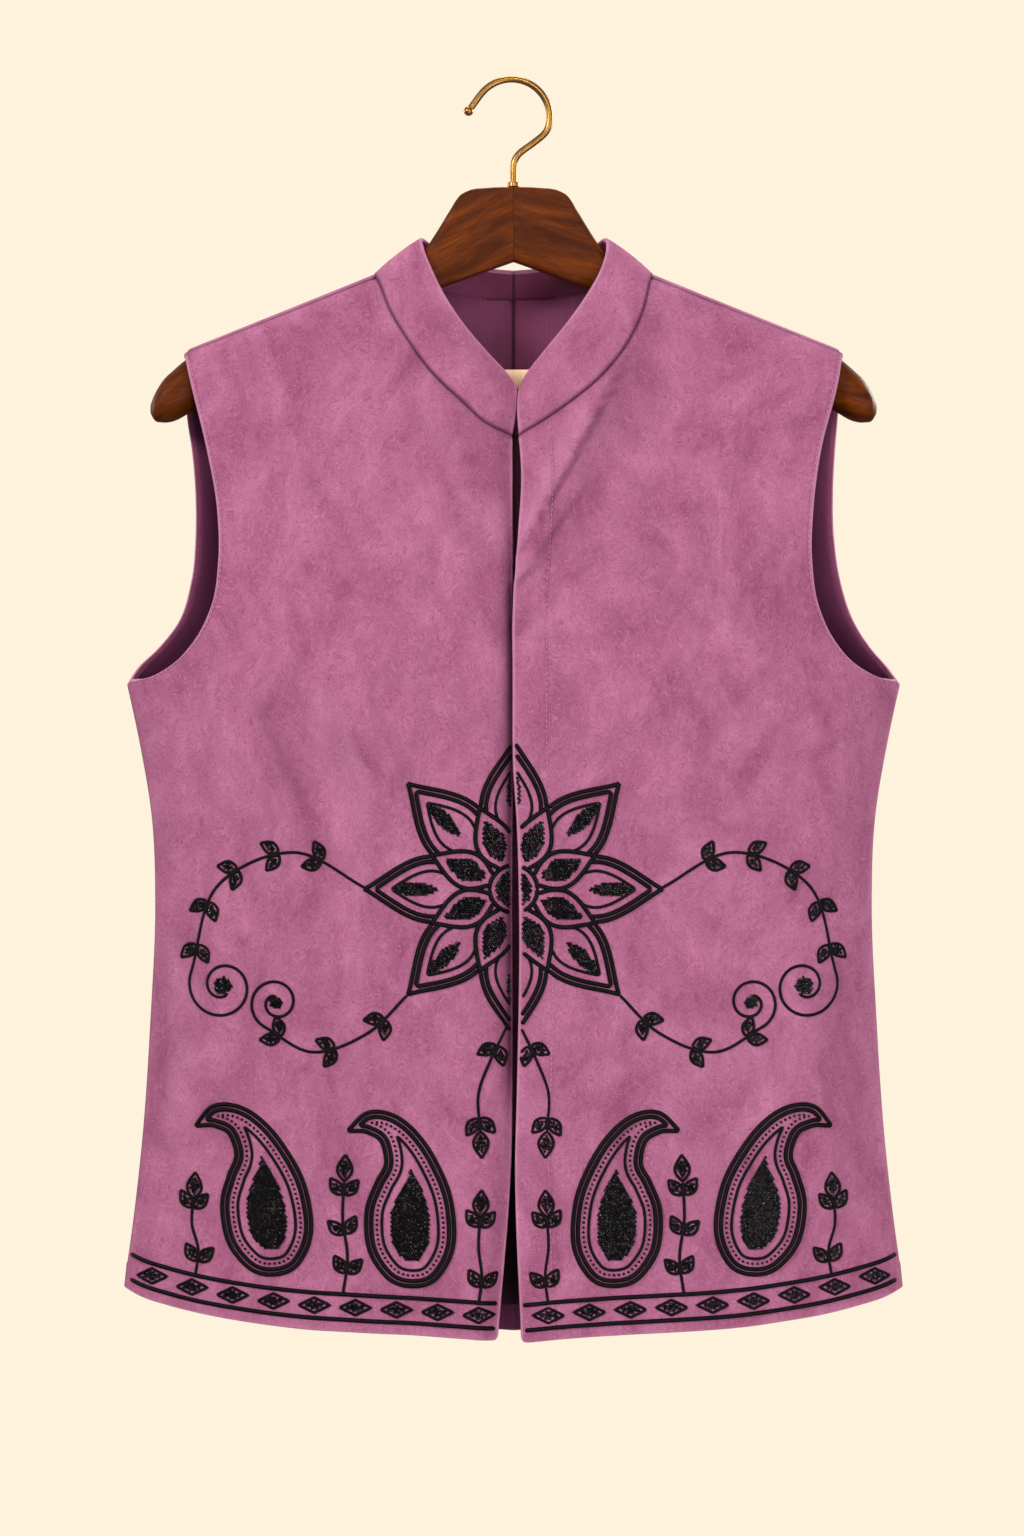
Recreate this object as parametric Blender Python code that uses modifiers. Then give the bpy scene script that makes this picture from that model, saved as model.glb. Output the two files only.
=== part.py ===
"""A sleeveless jacket with a stand collar, hung on its wooden hanger.

The frame is +Z up, with the wearer's front toward -Y and the wearer's left toward +X. The origin
is the point where the brass hook rests on a rail. Sizes below are in millimetres, and "out" is the
distance sideways from the centre line, so that one table can serve both halves of the jacket.
"""

import math
from collections import namedtuple

import bmesh
import bpy
import numpy as np

MM = 0.001

# ---- Driving dimensions ------------------------------------------------------------------------

CLOTH = 2.4  # suede with its fusing
LINING = 1.0
COLLAR_WALL = 3.0
GAP = 0.3  # between pieces that touch
RIGHT, LEFT = -1, 1  # the wearer's sides, as signs of X
FRONT, BACK = -1, 1  # as signs of Y

# The ridge is the top line of the cloth where it bends over the hanger's arms.
RIDGE_TOP = -86.6  # where the two shoulder lines would meet, above the neck
RIDGE_SLOPE = 0.409
ROLL = 22.0  # height in which the cloth turns from the ridge to hanging plumb
REACH = 190.0  # height in which it widens from the hanger's depth to the chest's
SWEEP = 8.0  # how far forward the hanger's tips stand
TIP = 230.0
SHOULDER_SEAM = 11.5  # along the cloth, forward of the ridge

# Level sections of the jacket: half its width, and its depth to the front and to the back.
Section = namedtuple("Section", "z half_width front back")
SECTIONS = (
    Section(-110, 310.0, 46, 40),
    Section(-160, 300.0, 47, 42),
    Section(-230, 286.0, 50, 44),
    Section(-300, 268.0, 55, 48),
    Section(-384, 247.7, 57, 49),
    Section(-421, 239.7, 56, 48),
    Section(-472, 231.4, 54, 45),
    Section(-523, 229.4, 51, 41),
    Section(-600, 232.5, 47, 38),
    Section(-677, 237.8, 43, 36),
    Section(-728, 243.5, 41, 35),
    Section(-770, 249.3, 39, 34),
    Section(-806, 253.5, 38, 34),
)
FLATNESS = 2.8  # exponent of a section: higher is flatter across the chest
EDGE_TURN = 0.58  # and lower is rounder at the side seam
SEAM_CALM = 0.04  # share of the half width, beside the side seam, where folds die out

# Depth of the cloth just under the ridge: on the arms, and round the open neck.
Hold = namedtuple("Hold", "out front back")
HOLDS = (
    Hold(-20, 52.0, 45.0),
    Hold(0, 52.0, 45.0),
    Hold(30, 48.0, 42.0),
    Hold(55, 37.0, 34.0),
    Hold(75, 24.0, 23.0),
    Hold(90, 17.0, 16.5),
    Hold(120, 16.0, 16.0),
    Hold(160, 18.5, 18.5),
    Hold(210, 23.0, 23.0),
    Hold(260, 24.0, 24.0),
)

# Edges of the pieces. "right" and "left" are distances out from the centre line on each side.
Edge = namedtuple("Edge", "z right left")
CENTRE_FRONT = (
    Edge(-228.6, 0.4, 3.1),
    Edge(-254.0, 0.4, 4.7),
    Edge(-290.0, 0.4, 2.6),
    Edge(-327.0, 0.2, 0.0),
    Edge(-384.0, -0.6, -0.6),
    Edge(-440.0, -0.2, -0.2),
    Edge(-470.0, 0.3, 1.7),
    Edge(-648.0, 0.5, 1.9),
    Edge(-680.0, 0.9, 1.0),
    Edge(-804.0, 9.9, 4.8),
)
FRONT_NECK = (
    Edge(-222.0, 16.1, 14.6),
    Edge(-207.0, 32.7, 36.5),
    Edge(-191.0, 49.5, 55.2),
    Edge(-168.0, 66.8, 73.0),
    Edge(-147.0, 79.0, 82.6),
)
SEAM_AT_NECK = 88.0
SEAM_AT_TIP = 210.0
FRONT_ARMHOLE = (
    Edge(-198.0, 203.9, 205.0),
    Edge(-237.0, 194.4, 195.0),
    Edge(-276.0, 187.6, 189.7),
    Edge(-308.0, 186.8, 188.9),
    Edge(-337.0, 191.4, 193.3),
    Edge(-355.0, 200.0, 201.5),
    Edge(-370.0, 212.7, 213.5),
    Edge(-380.0, 228.8, 229.5),
)
BACK_ARMHOLE = (
    Edge(-213.0, 210.2, 208.8),
    Edge(-235.0, 207.2, 207.2),
    Edge(-262.0, 205.3, 206.2),
    Edge(-290.0, 205.6, 207.2),
    Edge(-318.0, 208.5, 211.4),
    Edge(-345.0, 216.9, 220.4),
    Edge(-363.0, 230.6, 231.5),
    Edge(-375.0, 242.3, 241.5),
)
UNDERARM = -384.4  # height of the point where the side seam meets both armholes

Hem = namedtuple("Hem", "out z")
HEM = (
    Hem(-10, -802.9),
    Hem(0, -802.6),
    Hem(30, -800.0),
    Hem(65, -797.6),
    Hem(99, -796.0),
    Hem(134, -793.9),
    Hem(169, -790.0),
    Hem(199, -785.2),
    Hem(220, -780.6),
    Hem(238, -775.6),
    Hem(249.4, -770.6),
)

# The back's neckline, as a distance "down" along the cloth from the ridge.
BackNeck = namedtuple("BackNeck", "out down")
BACK_NECK = (
    BackNeck(SEAM_AT_NECK, -SHOULDER_SEAM),
    BackNeck(89.5, 0.0),
    BackNeck(87.0, 9.0),
    BackNeck(80.0, 18.0),
    BackNeck(64.0, 29.5),
    BackNeck(46.0, 39.0),
    BackNeck(24.0, 50.5),
    BackNeck(0.0, 60.8),
)

# The collar's free edge, from its tip at the centre front round to the centre back.
CollarTop = namedtuple("CollarTop", "z right left y")
COLLAR_TOP = (
    CollarTop(-196.0, -2.6, 3.2, -29.0),
    CollarTop(-188.5, 3.2, 7.6, -28.5),
    CollarTop(-174.0, 16.4, 18.6, -27.0),
    CollarTop(-154.0, 32.8, 34.6, -24.0),
    CollarTop(-138.0, 43.2, 45.8, -20.5),
    CollarTop(-120.0, 52.0, 55.6, -15.0),
    CollarTop(-106.0, 57.4, 59.4, -8.5),
    CollarTop(-98.7, 58.6, 58.6, 3.5),
    CollarTop(-102.0, 52.5, 52.5, 12.0),
    CollarTop(-110.0, 37.0, 37.0, 16.5),
    CollarTop(-116.0, 19.0, 19.0, 18.5),
    CollarTop(-118.0, 0.0, 0.0, 19.0),
)
PEAK_ROW = 7  # the row of COLLAR_TOP above the ridge
COLLAR_BULGE = 1.2

# Folds run straight from one end to the other and fade there. "x" is the world's, so a fold
# can cross a seam. "out" is how far the cloth stands out, and a trough's is negative.
Fold = namedtuple("Fold", "face x0 z0 x1 z1 half_width out")
FOLDS = (
    Fold(FRONT, 28.0, -216.0, 10.0, -284.0, 9.0, 3.2),
    Fold(FRONT, 62.0, -192.0, 4.0, -322.0, 9.5, -4.2),
    Fold(FRONT, 82.0, -204.0, 26.0, -306.0, 15.0, 1.8),
    Fold(FRONT, 20.0, -336.0, -2.0, -364.0, 8.0, -1.6),
    Fold(FRONT, 80.0, -292.0, 142.0, -352.0, 15.0, -1.6),
    Fold(FRONT, 96.0, -286.0, 160.0, -338.0, 15.0, 1.2),
    Fold(FRONT, -58.0, -190.0, -14.0, -276.0, 12.0, 2.8),
    Fold(FRONT, -38.0, -262.0, -8.0, -322.0, 11.0, -2.0),
    Fold(FRONT, -172.0, -388.0, -108.0, -498.0, 15.0, -3.4),
    Fold(FRONT, -142.0, -380.0, -82.0, -484.0, 17.0, 2.8),
    Fold(FRONT, -112.0, -366.0, -68.0, -436.0, 12.0, -2.2),
    Fold(FRONT, 150.0, -400.0, 118.0, -510.0, 20.0, -1.6),
    Fold(FRONT, -186.0, -520.0, -196.0, -740.0, 24.0, 1.8),
    Fold(FRONT, 178.0, -540.0, 192.0, -750.0, 24.0, 2.0),
    Fold(FRONT, -96.0, -600.0, -104.0, -812.0, 26.0, -1.6),
    Fold(FRONT, 84.0, -620.0, 92.0, -815.0, 24.0, -1.5),
    Fold(BACK, -150.0, -236.0, -66.0, -330.0, 15.0, -2.6),
    Fold(BACK, 146.0, -228.0, 70.0, -342.0, 16.0, -2.8),
    Fold(BACK, -118.0, -250.0, -40.0, -350.0, 17.0, 2.2),
    Fold(BACK, 112.0, -260.0, 34.0, -372.0, 18.0, 2.4),
    Fold(BACK, -206.0, -410.0, -120.0, -500.0, 18.0, -3.0),
    Fold(BACK, 204.0, -420.0, 128.0, -516.0, 18.0, -2.8),
    Fold(BACK, -110.0, -480.0, -128.0, -790.0, 27.0, 3.2),
    Fold(BACK, 88.0, -500.0, 104.0, -800.0, 27.0, 3.0),
    Fold(BACK, -60.0, -560.0, -64.0, -815.0, 24.0, -2.6),
    Fold(BACK, 46.0, -580.0, 44.0, -815.0, 22.0, -2.4),
    Fold(BACK, 176.0, -560.0, 184.0, -800.0, 24.0, -2.4),
)
FOLD_FADE = 1.2  # exponent of the fade toward a fold's ends
EDGE_DIP = 4.5  # how far the right front's edge sinks to pass under the left front
DIP_WIDTH = 14.0

UNDERLAP_WALL = 1.6
UNDERLAP_START = 0.35  # share of the first column of the right front that the strip lies on
UNDERLAP_REACH = 15.0  # past the centre line, under the left front
UNDERLAP_SINK = 1.2
UNDERLAP_END = -673.5
HEM_TURN = 17.0  # the lining stops this far above the back's hem
ARMHOLE_TURN = 3.2  # and this far inside its armholes

# The hanger's arm from the glued centre joint to the tip: its heights, half its thickness, and the
# exponent of its section, which is a board with rounded edges at the head and round at the tip.
Arm = namedtuple("Arm", "out top bottom half squareness")
ARM = (
    Arm(0.15, -67.5, -114.7, 7.5, 5.0),
    Arm(16.0, -68.0, -120.4, 7.5, 5.0),
    Arm(31.0, -70.8, -125.9, 7.5, 5.0),
    Arm(34.5, -73.2, -127.2, 7.5, 5.0),
    Arm(40.0, -81.2, -129.2, 7.5, 4.6),
    Arm(49.0, -95.8, -132.5, 7.6, 3.8),
    Arm(57.0, -107.6, -135.5, 7.9, 3.0),
    Arm(72.0, -120.4, -141.9, 8.4, 2.6),
    Arm(92.0, -129.0, -152.2, 9.0, 2.3),
    Arm(120.0, -140.4, -166.4, 9.6, 2.15),
    Arm(150.0, -152.7, -182.2, 11.6, 2.15),
    Arm(180.0, -165.0, -198.0, 14.0, 2.15),
    Arm(205.0, -175.2, -210.8, 16.0, 2.15),
    Arm(217.0, -185.0, -217.4, 16.0, 2.15),
    Arm(224.5, -192.8, -218.2, 14.2, 2.15),
    Arm(229.5, -201.8, -216.4, 10.0, 2.15),
    Arm(231.4, -206.6, -213.0, 4.6, 2.15),
)
ARM_POINTS = 16
BAR_RADIUS = 6.0
BAR_HEIGHT = -190.2
BAR_HALF = 176.0

WIRE = 2.2
HOOK_RADIUS = 24.6
HOOK_SIDE = -1.3  # the hook's centre is this far from the shank
HOOK_FROM, HOOK_TO = 145.0, -8.0  # degrees, anticlockwise from +X
Shank = namedtuple("Shank", "x z")
SHANK = (
    Shank(21.6, -31.0),
    Shank(15.6, -36.6),
    Shank(8.6, -41.8),
    Shank(2.8, -46.2),
    Shank(0.2, -51.0),
    Shank(0.0, -57.0),
)
SHANK_END = -67.1
ARC_POINTS = 26
BEND_POINTS = 16
BALL_RADIUS = 3.1
BALL_POINTS = 6
BALL_CAP = 20.0  # degrees from the ball's pole to the flat end of the wire
TIP_RUN = 12.4  # straight from the end of the arc to the ball's centre
FERRULE_RADIUS = 3.8
FERRULE_HEIGHT = 3.2
FERRULE_EDGE = 0.5
ROUND_SIDES = 20  # of the bar and the ferrule

# ---- Grids -------------------------------------------------------------------------------------

COLUMNS = {FRONT: 18, BACK: 14}
COLUMN_CROWDING = 1.35  # columns crowd toward the side seam, where the cloth turns
# Rows from the hem to the underarm, from there to the neck, and along the neckline.
ROWS = {FRONT: (15, 9, 12), BACK: (11, 9, 10)}
ROW_CROWDING = 1.25
# Distances down from the ridge of the last rows, which follow the shoulder.
ROLL_ROWS = {
    FRONT: (32.0, 24.0, 17.0, SHOULDER_SEAM),
    BACK: (34.0, 24.0, 15.5, 7.5, 0.0, -6.0, -SHOULDER_SEAM),
}
ARMHOLE_SHARE = {FRONT: 0.5, BACK: 0.66}  # of the armhole, beside the middle rows
COLLAR_ROWS = 4

# ---- Materials: 8-bit sRGB colour, roughness and metallic value ----------------------------------

Finish = namedtuple("Finish", "name colour roughness metallic")
SUEDE = Finish("suede", (181, 106, 138), 0.95, 0.0)
LINING_CLOTH = Finish("lining", (100, 46, 70), 0.6, 0.0)
WALNUT = Finish("walnut", (92, 44, 20), 0.4, 0.0)
PALE_WOOD = Finish("pale_wood", (232, 190, 148), 0.45, 0.0)
BRASS = Finish("brass", (176, 132, 66), 0.25, 1.0)


def linear(channel):
    """An 8-bit sRGB value as the linear value that a shader takes."""
    value = channel / 255
    return value / 12.92 if value <= 0.04045 else ((value + 0.055) / 1.055) ** 2.4


def material(finish):
    """The finish's Principled BSDF material, made once."""
    found = bpy.data.materials.get(finish.name)
    if found:
        return found
    made = bpy.data.materials.new(finish.name)
    made.use_nodes = True
    shader = made.node_tree.nodes["Principled BSDF"]
    shader.inputs["Base Color"].default_value = (*map(linear, finish.colour), 1.0)
    shader.inputs["Roughness"].default_value = finish.roughness
    shader.inputs["Metallic"].default_value = finish.metallic
    return made


# ---- Curves through tables -----------------------------------------------------------------------


def column(rows, *names):
    """The named columns of a table, as an array with a row for each of its rows."""
    return np.array([[getattr(row, name) for name in names] for row in rows], float)


def smooth_curve(keys, values, at):
    """A smooth curve through values at rising keys, read at other keys."""
    slopes = np.gradient(values, keys, axis=0)
    at = np.clip(np.asarray(at, float), keys[0], keys[-1])
    start = np.clip(np.searchsorted(keys, at, side="right") - 1, 0, len(keys) - 2)
    span = (keys[start + 1] - keys[start])[..., None]
    t = (at[..., None] - keys[start][..., None]) / span
    rise = t * t * (3 - 2 * t)
    return (
        (1 - rise) * values[start]
        + rise * values[start + 1]
        + t * (1 - t) ** 2 * span * slopes[start]
        - t * t * (1 - t) * span * slopes[start + 1]
    )


def read_table(rows, key, names, at):
    """The named columns of a table, at any values of its key."""
    keys, values = column(rows, key)[:, 0], column(rows, *names)
    order = np.argsort(keys)
    return smooth_curve(keys[order], values[order], at)


def lengths_along(points):
    """The distance along a row of points to each of them."""
    steps = np.linalg.norm(np.diff(points, axis=0), axis=1)
    return np.concatenate([[0], np.cumsum(steps)])


def smooth_path(points, count=400):
    """Many points along a smooth curve through a few."""
    points = np.asarray(points, float)
    keys = lengths_along(points)
    return smooth_curve(keys, points, np.linspace(0, keys[-1], count))


def along(path, shares):
    """Points at shares of a path's length."""
    lengths = lengths_along(path)
    wanted = np.asarray(shares) * lengths[-1]
    return np.stack([np.interp(wanted, lengths, axis) for axis in path.T], -1)


def smoothstep(t):
    t = np.clip(t, 0, 1)
    return t * t * (3 - 2 * t)


# ---- The jacket's form ---------------------------------------------------------------------------
# A place on the cloth is (out, down): its distance out from the centre line, and the distance down
# along the cloth from the ridge. On the back panel, a negative "down" is over on the front's side.


def ridge_z(out):
    return RIDGE_TOP - RIDGE_SLOPE * out


def fall(down):
    """How far below the ridge the cloth is, that distance down along it."""
    turned = np.clip(down / ROLL, -math.pi / 2, math.pi / 2)
    return ROLL * (1 - np.cos(turned)) + np.maximum(np.abs(down) - ROLL * math.pi / 2, 0)


def down_to(out, z):
    """The distance along the cloth from the ridge down to a height."""
    drop = np.maximum(ridge_z(out) - z, 0)
    turned = np.arccos(1 - np.minimum(drop / ROLL, 1))
    return ROLL * turned + np.maximum(drop - ROLL, 0)


def fold_relief(face, x, z):
    """How far the folds push the cloth outward."""
    relief = np.zeros_like(x)
    for fold in FOLDS:
        if fold.face != face:
            continue
        run = np.array([fold.x1 - fold.x0, fold.z1 - fold.z0])
        length = np.linalg.norm(run)
        run = run / length
        share = ((x - fold.x0) * run[0] + (z - fold.z0) * run[1]) / length
        aside = (x - fold.x0) * run[1] - (z - fold.z0) * run[0]
        fade = np.sin(math.pi * np.clip(share, 0, 1)) ** FOLD_FADE
        relief += fold.out * fade * np.exp(-((aside / fold.half_width) ** 2))
    return relief


def edge_dip(out, z):
    """How far the right front sinks toward its edge."""
    edge = read_table(CENTRE_FRONT, "z", ["right"], z)[..., 0]
    return EDGE_DIP * (1 - smoothstep((out - edge) / DIP_WIDTH))


def body_point(side, face, place):
    """The outer surface's world point, in millimetres, for places (out, down) on a panel."""
    out, down = place[..., 0], place[..., 1]
    z = ridge_z(out) - fall(down)
    facing = np.where(down < 0, -face, face)
    near = np.abs(np.sin(np.clip(down / ROLL, -math.pi / 2, math.pi / 2)))
    far = smoothstep(fall(down) / REACH)
    section = read_table(SECTIONS, "z", ["half_width", "front", "back"], z)
    hold = read_table(HOLDS, "out", ["front", "back"], out)
    to_back = facing == BACK
    chest = np.where(to_back, section[..., 2], section[..., 1])
    held = np.where(to_back, hold[..., 1], hold[..., 0])
    across = np.clip(np.abs(out) / section[..., 0], 0, 1)
    turn = (1 - across**FLATNESS) ** EDGE_TURN
    depth = near * (held * (1 - far) + chest * turn * far)
    middle = -SWEEP * (out / TIP) ** 2 * (1 - far)
    relief = fold_relief(face, side * out, z) * near * smoothstep((1 - across) / SEAM_CALM)
    if face == FRONT and side == RIGHT:
        relief = relief - edge_dip(out, z)
    return np.stack([side * out, middle + facing * depth + facing * relief, z], -1)


# ---- Outlines of the panels, as places (out, down) -------------------------------------------------


def side_name(side):
    return "left" if side == LEFT else "right"


def edge_places(rows, side):
    """A table of edges on one side, as places from its first row to its last."""
    z, out = column(rows, "z", side_name(side)).T
    return np.stack([out, down_to(out, z)], -1)


def half_width_at(z):
    return float(read_table(SECTIONS, "z", ["half_width"], [z])[0, 0])


def crowded(count, power):
    """Shares from 0 to 1 that crowd toward 1."""
    return 1 - (1 - np.linspace(0, 1, count + 1)) ** power


def side_places(count):
    """The side seam from the hem up to the underarm point."""
    heights = HEM[-1].z + (UNDERARM - HEM[-1].z) * crowded(count, ROW_CROWDING)
    out = np.array([half_width_at(z) for z in heights])
    return np.stack([out, down_to(out, heights)], -1)


def armhole_path(side, face):
    """The armhole's edge from the underarm point up to the shoulder seam."""
    table = FRONT_ARMHOLE if face == FRONT else BACK_ARMHOLE
    out = half_width_at(UNDERARM)
    path = [np.array([[out, down_to(out, UNDERARM)]]), edge_places(table, side)[::-1]]
    if face == FRONT:
        path.append([[SEAM_AT_TIP, SHOULDER_SEAM]])
    else:
        path.append([[SEAM_AT_TIP + 0.4, ROLL], [SEAM_AT_TIP + 0.6, 0.0]])
        path.append([[SEAM_AT_TIP, -SHOULDER_SEAM]])
    return smooth_path(np.concatenate(path))


def neck_path(side, face):
    """A panel's neckline from the centre up to the shoulder seam."""
    if face == BACK:
        return smooth_path(column(BACK_NECK, "out", "down")[::-1])
    first = edge_places(CENTRE_FRONT[:1], side)
    last = np.array([[SEAM_AT_NECK, SHOULDER_SEAM]])
    return smooth_path(np.concatenate([first, edge_places(FRONT_NECK, side), last]))


def rows_up(path, face, count, start=0.0):
    """Places up a path from a share of its length: evenly spaced, then at the face's roll rows."""
    rolls = ROLL_ROWS[face]
    lengths = lengths_along(path)
    first = start * lengths[-1]
    last = np.interp(-rolls[0], -path[:, 1], lengths)
    even = np.linspace(first, last, count - len(rolls) + 2)[:-1]
    wanted = np.concatenate([even, np.interp(-np.array(rolls), -path[:, 1], lengths)])
    return np.stack([np.interp(wanted, lengths, path[:, k]) for k in range(2)], -1)


def neck_places(side, face):
    return rows_up(neck_path(side, face), face, ROWS[face][2])


def panel_places(side, face):
    """A panel's places in rows from hem to shoulder seam, each from the centre to the side."""
    lower, middle, upper = ROWS[face]
    neck = neck_places(side, face)
    neck_z = float(ridge_z(neck[0, 0]) - fall(neck[0, 1]))
    hem_z = float(read_table(HEM, "out", ["z"], [0.0])[0, 0])
    from_hem = hem_z + (UNDERARM - hem_z) * crowded(lower, ROW_CROWDING)
    from_underarm = np.linspace(UNDERARM, neck_z, middle + 1)[1:-1]
    heights = np.concatenate([from_hem, from_underarm])
    out = np.zeros_like(heights)
    if face == FRONT:
        out = read_table(CENTRE_FRONT, "z", [side_name(side)], heights)[:, 0]
    inner = np.concatenate([np.stack([out, down_to(out, heights)], -1), neck])

    path = armhole_path(side, face)
    share = ARMHOLE_SHARE[face]
    beside_middle = along(path, np.linspace(0, share, middle + 1)[1:-1])
    armhole = np.concatenate([beside_middle, rows_up(path, face, upper, share)])
    outer = np.concatenate([side_places(lower), armhole])
    across = crowded(COLUMNS[face], COLUMN_CROWDING)[None, :, None]
    places = inner[:, None] * (1 - across) + outer[:, None] * across
    # The hem's curve fades out of the rows above it.
    hem = read_table(HEM, "out", ["z"], places[0, :, 0])[:, 0]
    change = down_to(places[0, :, 0], hem) - places[0, :, 1]
    fade = (1 - np.linspace(0, 1, lower + 1)) ** 2
    places[: lower + 1, :, 1] += fade[:, None] * change
    return places


# ---- Walls ----------------------------------------------------------------------------------------


def unit(vectors):
    return vectors / np.linalg.norm(vectors, axis=-1, keepdims=True)


def inward_of(grid, outward):
    """Unit vectors into the wall at each point of a grid whose middle faces outward."""
    normal = np.cross(np.gradient(grid, axis=0), np.gradient(grid, axis=1))
    normal = unit(normal)
    middle = normal[grid.shape[0] // 2, grid.shape[1] // 2]
    return -normal if middle @ np.asarray(outward, float) > 0 else normal


def pull_back(edge, neighbour, distance):
    """The edge's points, moved toward the neighbouring row of points."""
    return edge + unit(neighbour - edge) * distance


def new_object(name, mesh, finish):
    made = bpy.data.objects.new(name, mesh)
    made.data.materials.append(material(finish))
    bpy.data.collections["Jacket"].objects.link(made)
    return made


def smooth_shade(made, degrees=40):
    made.data.shade_smooth()
    made.data.set_sharp_from_angle(angle=math.radians(degrees))


def wall(name, outer, inner, finish):
    """A closed wall between two grids of the same shape, joined round their rims."""
    rows, columns = outer.shape[:2]
    shape = bmesh.new()
    sheets = [
        [[shape.verts.new(point * MM) for point in row] for row in grid] for grid in (outer, inner)
    ]
    for sheet in sheets:
        for i in range(rows - 1):
            for j in range(columns - 1):
                shape.faces.new(
                    (sheet[i][j], sheet[i][j + 1], sheet[i + 1][j + 1], sheet[i + 1][j])
                )
    rim = [(0, j) for j in range(columns)]
    rim += [(i, columns - 1) for i in range(1, rows)]
    rim += [(rows - 1, j) for j in range(columns - 2, -1, -1)]
    rim += [(i, 0) for i in range(rows - 2, 0, -1)]
    for (i, j), (k, m) in zip(rim, rim[1:] + rim[:1]):
        shape.faces.new((sheets[0][i][j], sheets[0][k][m], sheets[1][k][m], sheets[1][i][j]))
    bmesh.ops.recalc_face_normals(shape, faces=shape.faces)
    mesh = bpy.data.meshes.new(name)
    shape.to_mesh(mesh)
    shape.free()
    made = new_object(name, mesh, finish)
    smooth_shade(made)
    return made


# ---- The collar -----------------------------------------------------------------------------------


def neck_points(side):
    """The neck seam from the centre front to the centre back."""
    front = body_point(side, FRONT, neck_places(side, FRONT))
    back = body_point(side, BACK, neck_places(side, BACK))
    return np.concatenate([front, back[-2::-1]])


def collar_grid(side):
    """The collar's outer surface in rows from the neck seam up to its free edge."""
    neck = neck_points(side)
    ridge = ROWS[FRONT][2] + len(ROLL_ROWS[BACK]) - 1 - ROLL_ROWS[BACK].index(0.0)
    front_share = lengths_along(neck[: ridge + 1])
    back_share = lengths_along(neck[ridge:])
    out, y, z = column(COLLAR_TOP, side_name(side), "y", "z").T
    top = np.stack([side * out, y, z], -1)
    keys = lengths_along(top)
    peak = keys[PEAK_ROW]
    front_keys = front_share / front_share[-1] * peak
    back_keys = peak + back_share / back_share[-1] * (keys[-1] - peak)
    free = smooth_curve(keys, top, np.concatenate([front_keys, back_keys[1:]]))
    rise = np.linspace(0, 1, COLLAR_ROWS + 1)[:, None, None]
    grid = neck * (1 - rise) + free * rise
    inward = inward_of(grid, (side, FRONT, 0))
    return grid - inward * COLLAR_BULGE * 4 * rise * (1 - rise)


# ---- The jacket's seams ----------------------------------------------------------------------------

Cloth = namedtuple("Cloth", "grid inward")  # outer points, and the way in for 1 mm of wall


def mitre(first, second):
    """The way into each of two walls along the plane that halves the corner between them."""
    shared = unit(first + second)
    return [shared / np.sum(shared * each, -1, keepdims=True) for each in (first, second)]


def without(vectors, axis):
    """Unit vectors with no part along one axis."""
    flat = vectors.copy()
    flat[..., axis] = 0
    return unit(flat)


def shoulder_inward(side, out):
    """The way into the wall along the shoulder seam, which both panels share."""
    step = 1.0
    seam = np.stack([out, np.full_like(out, SHOULDER_SEAM)], -1)
    tangents = [
        body_point(side, FRONT, seam + move) - body_point(side, FRONT, seam - move)
        for move in (np.array([step, 0]), np.array([0, step]))
    ]
    inward = unit(np.cross(tangents[0], tangents[1]))
    return inward * np.where(inward[:, 2:] > 0, -1, 1)


def jacket_half(side):
    """One side's front, back and collar, with their walls matched where they meet."""
    panels = {}
    for face in (FRONT, BACK):
        places = panel_places(side, face)
        grid = body_point(side, face, places)
        inward = inward_of(grid, (0, face, 0))
        inward[: ROWS[face][0] + 1, -1] = (-side, 0, 0)
        inward[-1] = shoulder_inward(side, places[-1, :, 0])
        panels[face] = Cloth(grid, inward)
    neck_from = {face: sum(ROWS[face][:2]) for face in ROWS}
    front, back = panels[FRONT], panels[BACK]
    back.inward[: neck_from[BACK] + 1, 0] = without(back.inward[: neck_from[BACK] + 1, 0], 0)

    grid = collar_grid(side)
    collar = Cloth(grid, inward_of(grid, (side, FRONT, 0)))
    collar.inward[:, -1] = without(collar.inward[:, -1], 0)
    shoulder = ROWS[FRONT][2]
    front_edge, collar_front = mitre(
        front.inward[neck_from[FRONT] :, 0], collar.inward[0, : shoulder + 1]
    )
    back_edge, collar_back = mitre(
        back.inward[neck_from[BACK] :, 0][::-1], collar.inward[0, shoulder:]
    )
    front.inward[neck_from[FRONT] :, 0] = front_edge
    back.inward[neck_from[BACK] :, 0] = back_edge[::-1]
    collar.inward[0] = np.concatenate([collar_front, collar_back[1:]])

    # Half a gap is left at each seam.
    for face in (FRONT, BACK):
        grid = panels[face].grid
        seam = slice(0, ROWS[face][0] + 1)
        grid[seam, -1] = pull_back(grid[seam, -1], grid[seam, -2], GAP / 2)
        grid[-1] = pull_back(grid[-1], grid[-2], GAP / 2)
        inner_edge = slice(neck_from[FRONT] if face == FRONT else 0, None)
        grid[inner_edge, 0] = pull_back(grid[inner_edge, 0], grid[inner_edge, 1], GAP / 2)
    collar.grid[0] = pull_back(collar.grid[0], collar.grid[1], GAP / 2)
    collar.grid[:, -1] = pull_back(collar.grid[:, -1], collar.grid[:, -2], GAP / 2)
    return front, back, collar


# ---- The jacket's pieces ----------------------------------------------------------------------------


def make_wall(name, cloth, thickness, finish):
    return wall(name, cloth.grid, cloth.grid + cloth.inward * thickness, finish)


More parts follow.
